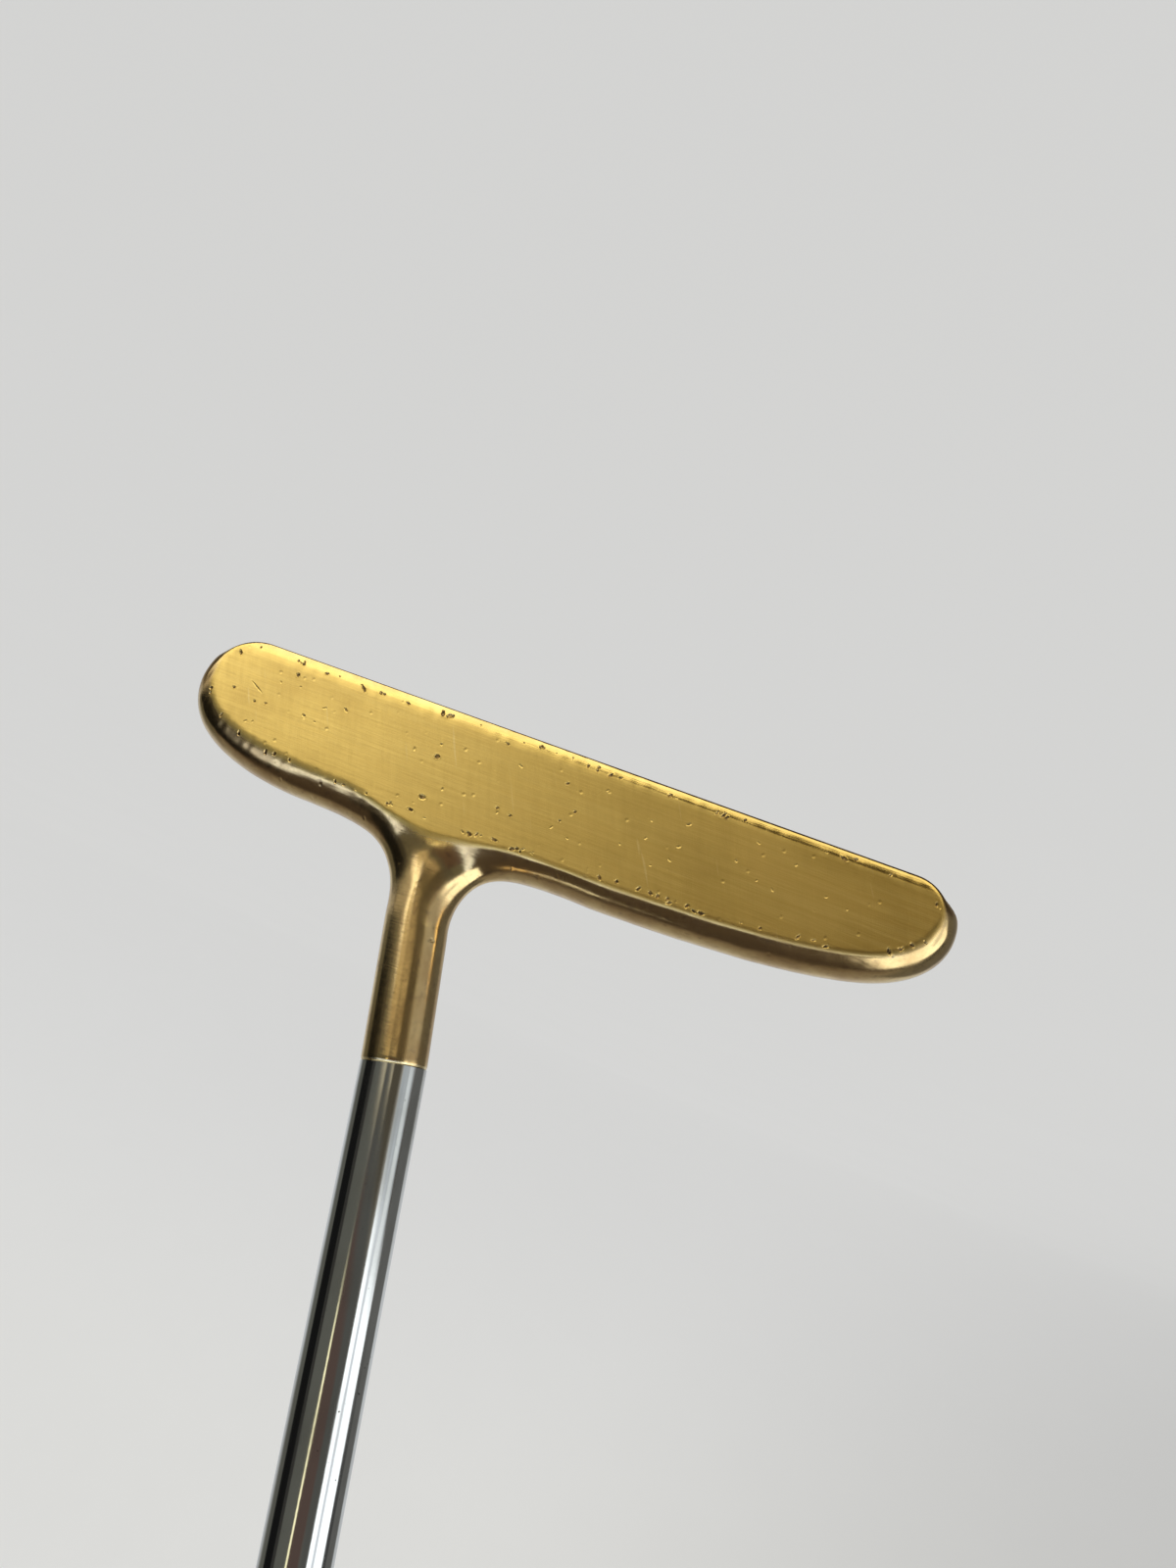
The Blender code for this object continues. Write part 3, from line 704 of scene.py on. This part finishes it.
def build_cap():
    """The moulded cap: a fine groove round its rim, a domed top and a counterbored screw hole."""
    rim = GAP + WRAP_THICK + CAP_OVERHANG
    bottom = SHAFT_LENGTH + BUTT_GAP
    top = bottom + CAP_THICKNESS

    def shrunk(scale, height):
        return [Vector((p.x * scale, p.y * scale, height)) for p in paddle_ring(SHAFT_LENGTH, rim)]

    wall = ((0.97, 0.0), (0.99, 0.12), (1.0, 0.4), (1.0, 1.4), (0.985, 1.6), (0.985, 1.9), (1.0, 2.1))
    rings = [shrunk(scale, bottom + height) for scale, height in wall]
    for k in range(1, 11):
        a = 0.5 * math.pi * k / 10
        rings.append(shrunk(0.62 + 0.38 * math.cos(a), bottom + 2.1 + (CAP_THICKNESS - 2.2) * math.sin(a)))
    seat, hole = 3.3, 1.45
    middle = ((seat + 1.6, top), (seat + 0.35, top), (seat, top - 0.3), (seat, top - 1.6),
              (hole, top - 1.6), (hole, bottom))
    rings += [circle(radius, height, SIDES) for radius, height in middle]
    bm = bmesh.new()
    loft(bm, rings, closed_path=True)
    return bm


def build_screw():
    head_bottom = SHAFT_LENGTH + BUTT_GAP + CAP_THICKNESS - SCREW_HEAD_HEIGHT
    profile = [(0.4, SHAFT_LENGTH - 14.7), (SCREW_R, SHAFT_LENGTH - 12.7), (SCREW_R, head_bottom),
               (2.9, head_bottom), (SCREW_HEAD_R, head_bottom + 0.1), (SCREW_HEAD_R, head_bottom + 0.45)]
    for k in range(1, 9):
        a = 0.5 * math.pi * k / 8
        profile.append((max(SCREW_HEAD_R * math.cos(a), 0.35), head_bottom + 0.45 + 0.85 * math.sin(a)))
    bm = bmesh.new()
    loops = loft(bm, [circle(r, z, 64) for r, z in profile])
    bm.faces.new(loops[0])
    bm.faces.new(loops[-1])
    return bm


def cut_slot(screw):
    """The driver slot across the screw's head."""
    bm = bmesh.new()
    bmesh.ops.create_cube(bm, size=1.0)
    bmesh.ops.scale(bm, verts=bm.verts, vec=(12.0, 0.7, 1.2))
    bmesh.ops.translate(bm, verts=bm.verts, vec=(0.0, 0.0, SHAFT_LENGTH + BUTT_GAP + CAP_THICKNESS))
    bm.transform(axis_matrix())
    bm.transform(Matrix.Scale(MM, 4))
    mesh = bpy.data.meshes.new("slot_cutter")
    bm.to_mesh(mesh)
    bm.free()
    cutter = bpy.data.objects.new("slot_cutter", mesh)
    bpy.context.scene.collection.objects.link(cutter)
    cut = screw.modifiers.new("slot", "BOOLEAN")
    cut.operation = "DIFFERENCE"
    cut.solver = "EXACT"
    cut.object = cutter
    apply_modifiers(screw)
    bpy.data.objects.remove(cutter)


def build_collar():
    top = GRIP_START - BUTT_GAP
    bottom = top - COLLAR_LENGTH
    bore = shaft_radius(GRIP_START) + GAP
    lip = ((0.0, 0.0), (0.7, 0.0), (0.95, 0.12), (1.15, 0.5), (1.25, 1.2), (1.3, 2.4), (1.12, 2.7),
           (1.12, 3.2), (1.35, 3.5))
    profile = [(bore + wall, bottom + height) for wall, height in lip]
    profile += [(7.8, top - 4.6), (7.95, top - 4.2), (8.5, top - 2.2), (COLLAR_R, top - 1.8),
                (COLLAR_R, top - 0.3), (8.45, top), (bore, top)]
    bm = bmesh.new()
    loft(bm, [circle(r, z, SIDES) for r, z in profile], closed_path=True)
    return bm


# ---- materials

class Paint:
    """A material or world being wired up, with short calls for the nodes it uses."""

    def __init__(self, name):
        self.material = bpy.data.materials.new(name)
        self.material.use_nodes = True
        self.tree = self.material.node_tree
        self.shader = self.tree.nodes["Principled BSDF"]

    def node(self, kind, inputs=(), **settings):
        made = self.tree.nodes.new(kind)
        for key, value in settings.items():
            setattr(made, key, value)
        for key, value in dict(inputs).items():
            if isinstance(value, bpy.types.NodeSocket):
                self.tree.links.new(value, made.inputs[key])
            else:
                made.inputs[key].default_value = value
        return made

    def set(self, **values):
        for key, value in values.items():
            socket = self.shader.inputs[key.replace("_", " ")]
            if isinstance(value, bpy.types.NodeSocket):
                self.tree.links.new(value, socket)
            else:
                socket.default_value = value

    def place(self, scale=(1.0, 1.0, 1.0), turn=(0.0, 0.0, 0.0)):
        """Object coordinates in metres, turned and then stretched."""
        source = self.node("ShaderNodeTexCoord").outputs["Object"]
        if any(turn):
            source = self.node("ShaderNodeVectorRotate", {"Vector": source, "Rotation": turn},
                               rotation_type="EULER_XYZ").outputs["Vector"]
        made = self.node("ShaderNodeVectorMath", {0: source, 1: scale}, operation="MULTIPLY")
        return made.outputs["Vector"]

    def noise(self, vector, scale=1.0, detail=3.0, rough=0.55):
        inputs = {"Vector": vector, "Scale": scale, "Detail": detail, "Roughness": rough}
        return self.node("ShaderNodeTexNoise", inputs).outputs["Fac"]

    def ramp(self, value, stops):
        made = self.node("ShaderNodeValToRGB", {"Fac": value})
        elements = made.color_ramp.elements
        while len(elements) < len(stops):
            elements.new(0.5)
        for element, (position, color) in zip(elements, stops):
            element.position = position
            element.color = (*color, 1.0)
        return made.outputs["Color"]

    def span(self, value, low, high, out_low=0.0, out_high=1.0, kind="SMOOTHSTEP"):
        inputs = {"Value": value, "From Min": low, "From Max": high, "To Min": out_low, "To Max": out_high}
        return self.node("ShaderNodeMapRange", inputs, interpolation_type=kind).outputs["Result"]

    def math(self, operation, a, b=0.0):
        return self.node("ShaderNodeMath", {0: a, 1: b}, operation=operation).outputs["Value"]

    def mix(self, share, a, b):
        made = self.node("ShaderNodeMix", data_type="RGBA")
        for index, value in ((0, share), (6, a), (7, b)):
            if isinstance(value, bpy.types.NodeSocket):
                self.tree.links.new(value, made.inputs[index])
            elif index:
                made.inputs[index].default_value = (*value, 1.0)
            else:
                made.inputs[index].default_value = value
        return made.outputs[2]

    def bump(self, height, strength, distance, normal=None):
        inputs = {"Height": height, "Strength": strength, "Distance": distance}
        if normal is not None:
            inputs["Normal"] = normal
        return self.node("ShaderNodeBump", inputs).outputs["Normal"]


def position(paint, axis):
    source = paint.node("ShaderNodeTexCoord").outputs["Object"]
    return paint.node("ShaderNodeSeparateXYZ", {0: source}).outputs[axis]


def cast_brass():
    """Gold brass: brushed and dimpled on the milled faces, glossy blotched bronze on rim and neck."""
    p = Paint("cast_brass")
    x, depth, height = position(p, 0), p.math("ABSOLUTE", position(p, 1)), position(p, 2)
    under = p.math("SUBTRACT", SOLE_HALF * MM, p.math("ADD", depth, p.math("MULTIPLY", height, LOFT)))
    milled = p.math("MULTIPLY", p.span(under, 0.00004, 0.00045, 1.0, 0.0),
                    p.span(height, 0.0195, 0.0215, 1.0, 0.0))
    clouds = p.noise(p.place((55.0, 55.0, 90.0)), detail=4.0, rough=0.6)
    blotches = p.noise(p.place((120.0, 120.0, 120.0)), detail=5.0, rough=0.65)
    fine = p.noise(p.place((900.0, 900.0, 900.0)), detail=3.0, rough=0.6)
    coarse = p.noise(p.place((40.0, 40.0, 1300.0)), detail=2.0)
    along = p.noise(p.place((150.0, 60.0, 2900.0)), detail=3.0, rough=0.65)
    crossed = p.noise(p.place((2600.0, 60.0, 170.0), (0.0, math.radians(-20.0), 0.0)), detail=3.0, rough=0.65)
    scuffs = p.noise(p.place((1500.0, 400.0, 90.0), (0.0, math.radians(-29.0), 0.0)), detail=1.0)
    spots = p.node("ShaderNodeTexVoronoi", {"Vector": p.place((760.0, 200.0, 760.0)), "Scale": 1.0})
    chosen = p.span(p.node("ShaderNodeSeparateColor", {0: spots.outputs["Color"]}).outputs[0], 0.86, 0.87)
    dimples = p.math("MULTIPLY", p.span(spots.outputs["Distance"], 0.0, 0.30, 1.0, 0.0), chosen)
    # Milled face colour darker toward +X, the long end: painted shade standing in for the dimmer reflection
    # there.
    long_end_shade = p.span(x, -0.05, 0.055, 0.0, 1.0, "LINEAR")
    gold = p.mix(long_end_shade, (0.93, 0.675, 0.205), (0.56, 0.365, 0.095))
    gold = p.mix(p.span(clouds, 0.42, 0.75, 0.0, 0.42), gold, (0.62, 0.40, 0.115))
    gold = p.mix(p.span(coarse, 0.35, 0.75, 0.0, 0.14), gold, (0.98, 0.76, 0.28))
    gold = p.mix(p.span(scuffs, 0.70, 0.76, 0.0, 0.3), gold, (1.0, 0.82, 0.42))
    weft = p.noise(p.place((1500.0, 60.0, 160.0), (0.0, math.radians(-24.0), 0.0)), detail=2.0)
    warp = p.noise(p.place((110.0, 60.0, 1700.0)), detail=2.0)
    gold = p.mix(p.span(p.math("ADD", weft, warp), 0.85, 1.2, 0.0, 0.16), gold, (0.55, 0.37, 0.10))
    bronze = p.mix(p.span(blotches, 0.35, 0.68), (0.88, 0.655, 0.31), (0.64, 0.43, 0.19))
    bronze = p.mix(p.span(fine, 0.52, 0.78, 0.0, 0.5), bronze, (0.40, 0.27, 0.15))
    p.set(Base_Color=p.mix(milled, bronze, gold), Metallic=1.0)
    brushed = p.span(p.math("ADD", clouds, p.math("MULTIPLY", crossed, 0.5)), 0.45, 1.0, 0.31, 0.40)
    glossy = p.span(blotches, 0.3, 0.75, 0.13, 0.27)
    rubbed = p.math("MULTIPLY", p.span(height, 0.0012, 0.0018), brushed)
    rubbed = p.math("MAXIMUM", rubbed, 0.15)
    p.set(Roughness=p.span(milled, 0.0, 1.0, glossy, rubbed, "LINEAR"))
    p.set(Coat_Weight=0.18, Coat_Roughness=0.12)
    fading = p.span(milled, 0.0, 1.0, 0.25, 0.6, "LINEAR")
    normal = p.bump(along, fading, 0.00003)
    normal = p.bump(crossed, p.span(milled, 0.0, 1.0, 0.08, 0.36, "LINEAR"), 0.00003, normal)
    normal = p.bump(fine, 0.12, 0.00006, normal)
    p.set(Normal=p.bump(dimples, 0.7, -0.00005, normal))
    return p.material


def brass_edge():
    """Edges rubbed bright."""
    p = Paint("brass_edge")
    clouds = p.noise(p.place((400.0, 400.0, 400.0)), detail=4.0, rough=0.65)
    base = p.mix(p.span(clouds, 0.38, 0.66), (1.0, 0.84, 0.50), (0.82, 0.58, 0.24))
    p.set(Base_Color=base, Metallic=1.0, Roughness=p.span(clouds, 0.3, 0.7, 0.22, 0.42))
    p.set(Normal=p.bump(clouds, 0.5, 0.00008))
    return p.material


def brass_pit_shade():
    """Painted shade in the knocks: their hollows given a darker brass colour."""
    p = Paint("brass_pit_shade")
    clouds = p.noise(p.place((1500.0, 1500.0, 1500.0)), detail=4.0)
    base = p.mix(p.span(clouds, 0.4, 0.65), (0.10, 0.065, 0.03), (0.46, 0.30, 0.11))
    p.set(Base_Color=base, Metallic=0.95, Roughness=p.span(clouds, 0.3, 0.7, 0.25, 0.45))
    p.set(Normal=p.bump(clouds, 0.4, 0.00005))
    return p.material


def chrome():
    """Old chrome plate: fine polish lines, haze and a few specks."""
    p = Paint("chrome_steel")
    haze = p.noise(p.place((90.0, 90.0, 60.0)), detail=5.0, rough=0.6)
    lines = p.noise(p.place((5200.0, 5200.0, 60.0)), detail=2.0)
    specks = p.noise(p.place((1900.0, 1900.0, 1900.0)), detail=1.0)
    base = p.mix(p.span(haze, 0.35, 0.7), (0.78, 0.79, 0.77), (0.62, 0.62, 0.59))
    base = p.mix(p.span(specks, 0.76, 0.80, 0.0, 0.85), base, (0.10, 0.09, 0.07))
    p.set(Base_Color=base, Metallic=1.0, Roughness=p.span(haze, 0.3, 0.75, 0.07, 0.16))
    p.set(Normal=p.bump(haze, 0.05, 0.0002, p.bump(lines, 0.12, 0.00001)))
    return p.material


def leather():
    p = Paint("black_leather")
    where = p.place((1.0, 1.0, 1.0))
    cells = p.node("ShaderNodeTexVoronoi", {"Vector": where, "Scale": 950.0, "Randomness": 0.95},
                   feature="DISTANCE_TO_EDGE")
    creases = p.span(cells.outputs["Distance"], 0.0, 0.16)
    blotch = p.noise(where, 55.0, 4.0, 0.6)
    fine = p.noise(where, 2600.0, 2.0)
    base = p.mix(p.span(blotch, 0.35, 0.7), (0.022, 0.018, 0.016), (0.060, 0.045, 0.036))
    # Base colour darker along the grain's creases: painted shade in the creases.
    base = p.mix(p.math("MULTIPLY", p.span(creases, 0.0, 0.7, 1.0, 0.0), 0.6), base, (0.010, 0.008, 0.007))
    p.set(Base_Color=base, Roughness=p.span(blotch, 0.3, 0.7, 0.42, 0.60))
    p.set(Normal=p.bump(fine, 0.15, 0.00005, p.bump(creases, 0.55, 0.00012)))
    return p.material


def rubber():
    p = Paint("black_rubber")
    where = p.place()
    fine = p.noise(where, 2200.0, 3.0)
    dust = p.noise(where, 90.0, 5.0, 0.65)
    p.set(Base_Color=p.mix(p.span(dust, 0.45, 0.75), (0.020, 0.020, 0.020), (0.060, 0.057, 0.052)))
    p.set(Roughness=p.span(dust, 0.3, 0.7, 0.55, 0.78), Normal=p.bump(fine, 0.2, 0.00006))
    return p.material


def plastic():
    p = Paint("cap_plastic")
    where = p.place()
    fine = p.noise(where, 1500.0, 3.0)
    rubs = p.noise(p.place((300.0, 900.0, 300.0)), detail=4.0)
    p.set(Base_Color=p.mix(p.span(rubs, 0.45, 0.75), (0.020, 0.018, 0.018), (0.075, 0.068, 0.062)))
    p.set(Roughness=p.span(rubs, 0.35, 0.7, 0.24, 0.45), Normal=p.bump(fine, 0.10, 0.00005))
    return p.material


def thread():
    p = Paint("waxed_thread")
    fibres = p.noise(p.place((900.0, 900.0, 5200.0)), detail=3.0)
    p.set(Base_Color=p.mix(p.span(fibres, 0.35, 0.7), (0.030, 0.026, 0.022), (0.12, 0.10, 0.08)))
    p.set(Roughness=p.span(fibres, 0.3, 0.7, 0.42, 0.65), Normal=p.bump(fibres, 0.5, 0.0001))
    return p.material


def screw_brass():
    p = Paint("screw_brass")
    where = p.place()
    clouds = p.noise(where, 500.0, 4.0)
    rings = p.noise(p.place((3000.0, 200.0, 200.0)), detail=2.0)
    p.set(Base_Color=p.mix(p.span(clouds, 0.4, 0.7), (0.82, 0.62, 0.28), (0.46, 0.30, 0.13)), Metallic=1.0)
    p.set(Roughness=p.span(clouds, 0.3, 0.7, 0.2, 0.42), Normal=p.bump(rings, 0.2, 0.00003))
    return p.material


def epoxy():
    p = Paint("cured_epoxy")
    clouds = p.noise(p.place(), 300.0, 4.0)
    p.set(Base_Color=p.mix(p.span(clouds, 0.35, 0.7), (0.55, 0.46, 0.26), (0.42, 0.33, 0.17)))
    p.set(Roughness=p.span(clouds, 0.3, 0.7, 0.3, 0.45), Normal=p.bump(clouds, 0.2, 0.0001))
    return p.material


def wood():
    p = Paint("plug_wood")
    where = p.place((1.0, 1.0, 0.12))
    rings = p.node("ShaderNodeTexWave", {"Vector": where, "Scale": 260.0, "Distortion": 5.0, "Detail": 3.0})
    rings = rings.outputs["Fac"]
    p.set(Base_Color=p.mix(p.span(rings, 0.2, 0.9), (0.56, 0.37, 0.19), (0.36, 0.21, 0.10)))
    p.set(Roughness=p.span(rings, 0.0, 1.0, 0.55, 0.7), Normal=p.bump(rings, 0.3, 0.0001))
    return p.material


def tape():
    p = Paint("grip_tape")
    fibres = p.noise(p.place((2500.0, 2500.0, 400.0)), detail=3.0)
    p.set(Base_Color=p.mix(p.span(fibres, 0.35, 0.7), (0.74, 0.68, 0.52), (0.58, 0.51, 0.37)))
    p.set(Roughness=p.span(fibres, 0.3, 0.7, 0.7, 0.85), Normal=p.bump(fibres, 0.3, 0.0001))
    return p.material


# ---- studio

def build_world():
    """Soft cards round the object, painted by direction: azimuth from +Y toward +X, and elevation."""
    world = bpy.data.worlds.new("studio")
    world.use_nodes = True
    bpy.context.scene.world = world
    w = Paint.__new__(Paint)
    w.tree = world.node_tree
    background = w.tree.nodes["Background"]
    direction = w.node("ShaderNodeTexCoord").outputs["Generated"]
    split = w.node("ShaderNodeSeparateXYZ", {0: direction}).outputs
    azimuth = w.math("MULTIPLY", w.math("ARCTAN2", split[0], split[1]), DEGREES)
    elevation = w.math("MULTIPLY", w.math("ARCSINE", split[2]), DEGREES)

    def window(value, low, high, soft):
        rise = w.span(value, low - soft / 2.0, low + soft / 2.0)
        fall = w.span(value, high - soft / 2.0, high + soft / 2.0, 1.0, 0.0)
        return w.math("MULTIPLY", rise, fall)

    over = w.math("MULTIPLY", w.math("ARCTAN2", split[2], split[1]), DEGREES)
    turn = w.span(over, -180.0, 180.0, 0.0, 1.0, "LINEAR")

    def arc(degrees, *color):
        return (degrees + 180.0) / 360.0, color

    # from the back horizon under the sole to the front, over the top and down to the back horizon
    color = w.ramp(turn, (
        arc(-180.0, 0.58, 0.60, 0.62), arc(-155.0, 0.22, 0.20, 0.17), arc(-130.0, 0.05, 0.04, 0.03),
        arc(-70.0, 0.05, 0.04, 0.03), arc(-48.0, 0.60, 0.58, 0.52), arc(-20.0, 0.60, 0.57, 0.50),
        arc(0.0, 0.30, 0.28, 0.24), arc(32.0, 0.09, 0.09, 0.08), arc(42.0, 1.05, 1.22, 1.62),
        arc(51.0, 1.05, 1.22, 1.62), arc(57.0, 0.07, 0.055, 0.045), arc(102.0, 0.05, 0.04, 0.035),
        arc(112.0, 0.20, 0.18, 0.16), arc(135.0, 0.31, 0.31, 0.30),
        arc(158.0, 0.52, 0.54, 0.56), arc(180.0, 0.58, 0.60, 0.62)))
    cards = (
        # azimuth from, to, softness, elevation from, to, softness, colour
        (-125.0, 48.0, 24.0, 1.0, 33.0, 6.0, (0.11, 0.11, 0.095)),        # dim room in front
        (-42.0, -11.0, 16.0, -46.0, -2.0, 6.0, (1.55, 1.50, 1.36)),       # bright table, left
        (-84.0, -40.0, 8.0, -40.0, -11.0, 4.0, (1.50, 1.45, 1.25)),
        (-60.0, 50.0, 16.0, -62.0, -29.0, 5.0, (1.75, 1.75, 1.45)),       # table under the blade
        (-17.0, 46.0, 20.0, -28.0, -4.0, 5.0, (0.085, 0.072, 0.050)),     # whoever holds the camera
        (-30.0, -4.0, 6.0, -9.0, 1.0, 4.0, (0.52, 0.45, 0.30)),
        (-8.0, 14.0, 6.0, -13.0, -5.0, 3.0, (0.50, 0.43, 0.29)),
        (-10.0, 47.0, 8.0, -5.0, 10.0, 3.0, (0.085, 0.085, 0.078)),
        (-9.0, 24.0, 8.0, 3.0, 33.0, 5.0, (0.095, 0.065, 0.055)),
        (-13.0, -8.0, 3.0, 9.0, 33.0, 6.0, (1.30, 1.20, 0.75)),           # a narrow lamp
        (-96.0, -60.0, 6.0, 4.0, 55.0, 6.0, (0.008, 0.008, 0.008)),       # black card
        (-60.0, -50.0, 5.0, 4.0, 55.0, 6.0, (0.035, 0.033, 0.03)),
        (47.0, 97.0, 6.0, -30.0, -16.0, 8.0, (0.36, 0.36, 0.36)),
        (48.0, 92.0, 5.0, -18.0, -8.0, 8.0, (0.42, 0.45, 0.47)),          # softbox, right
        (72.0, 87.0, 6.0, -18.0, -8.0, 8.0, (0.80, 0.84, 0.86)),
        (48.0, 98.0, 5.0, -8.0, 60.0, 7.0, (1.55, 1.62, 1.68)),
        (61.0, 69.0, 6.0, -12.0, 12.0, 12.0, (0.70, 0.74, 0.80)),
        (98.0, 145.0, 6.0, -30.0, 45.0, 14.0, (0.13, 0.13, 0.125)),
        (98.0, 112.0, 5.0, -3.0, 45.0, 10.0, (0.06, 0.06, 0.06)),
    )
    for az0, az1, az_soft, el0, el1, el_soft, card in cards:
        mask = w.math("MULTIPLY", window(azimuth, az0, az1, az_soft),
                      window(elevation, el0, el1, el_soft))
        color = w.mix(mask, color, card)
    w.tree.links.new(color, background.inputs["Color"])
    background.inputs["Strength"].default_value = 1.0


def build_backdrop():
    """A pale floor that sweeps up into a closed pale room, in metres. Only the camera sees it."""
    profile = [(0.001, 0.0), (1.0, 0.0), (3.0, 0.0), (6.0, 0.0)]
    for k in range(1, 25):
        a = math.pi / 2.0 * k / 24
        profile.append((6.0 + 3.0 * math.sin(a), 3.0 - 3.0 * math.cos(a)))
    profile += [(9.0, 9.0), (8.0, 11.0), (5.0, 12.6), (0.001, 13.0)]
    bm = bmesh.new()
    loft(bm, [circle(r, z - BACKDROP_DROP, SIDES) for r, z in profile])
    mesh = bpy.data.meshes.new("backdrop")
    bm.to_mesh(mesh)
    bm.free()
    mesh.shade_smooth()
    p = Paint("backdrop_paper")
    fibre = p.noise(p.place(), 3.0, 3.0)
    p.set(Base_Color=p.mix(fibre, (0.15, 0.15, 0.15), (0.17, 0.17, 0.17)), Roughness=0.9)
    # The backdrop's glow is painted light, fading darker toward +X and upward: a painted falloff of light
    # across it.
    across = p.math("ADD", position(p, 0), p.math("MULTIPLY", position(p, 2), 0.4))
    glow = p.mix(p.span(across, 0.3, 4.6), (0.59, 0.588, 0.573), (0.47, 0.468, 0.453))
    p.set(Emission_Color=glow, Emission_Strength=1.0)
    mesh.materials.append(p.material)
    backdrop = bpy.data.objects.new("backdrop", mesh)
    bpy.context.scene.collection.objects.link(backdrop)
    backdrop.visible_diffuse = False
    backdrop.visible_glossy = False
    backdrop.visible_transmission = False
    backdrop.visible_shadow = False


def build_camera():
    """A near camera, upside down, that looks at the face from a little above and from the long end's side."""
    data = bpy.data.cameras.new("camera")
    camera = bpy.data.objects.new("camera", data)
    bpy.context.scene.collection.objects.link(camera)
    right = Vector((0.92604, -0.05761, -0.37301))
    down = Vector((0.33513, -0.32909, 0.88283))
    ahead = Vector((-0.17362, -0.94254, -0.28544))
    turn = Matrix((right, -down, -ahead)).transposed().to_4x4()
    spot = Vector((34.078, 166.821, 52.783)) * MM
    camera.matrix_world = Matrix.Translation(spot) @ turn
    data.sensor_width = 36.0
    data.lens = 27.045
    data.clip_start = 0.01
    data.clip_end = 60.0
    bpy.context.scene.camera = camera


def main():
    build_camera()
    build_world()
    build_backdrop()
    brass = [cast_brass(), brass_edge(), brass_pit_shade()]
    steel, hide, gum = chrome(), leather(), rubber()
    cap_plastic, cord, screw_metal = plastic(), thread(), screw_brass()
    for node, material in (("shaft_epoxy", epoxy()), ("butt_plug", wood()), ("grip_tape", tape())):
        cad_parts[node].data.materials.clear()
        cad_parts[node].data.materials.append(material)
    add_piece("head_casting", build_head(), brass, ("putter_head",), smooth_angle=40.0)
    axis = axis_matrix()
    add_piece("stepped_shaft", build_shaft(), [steel], ("shaft",), frame_matrix=axis)
    add_piece("paddle_core", build_underlisting(), [gum], ("underlisting",),
              frame_matrix=axis)
    add_piece("leather_strip", build_leather(), [hide], ("leather_wrap",), frame_matrix=axis)
    add_piece("whipping_thread", build_whipping(), [cord], ("end_whipping",),
              frame_matrix=axis)
    add_piece("grip_cap", build_cap(), [cap_plastic], ("butt_cap",), frame_matrix=axis)
    screw = add_piece("slotted_screw", build_screw(), [screw_metal], ("cap_screw",),
                      frame_matrix=axis)
    cut_slot(screw)
    add_piece("tapered_collar", build_collar(), [gum], ("grip_collar",), frame_matrix=axis)
    view = bpy.context.scene.view_settings
    view.view_transform = "Standard"
    view.look = "None"


main()
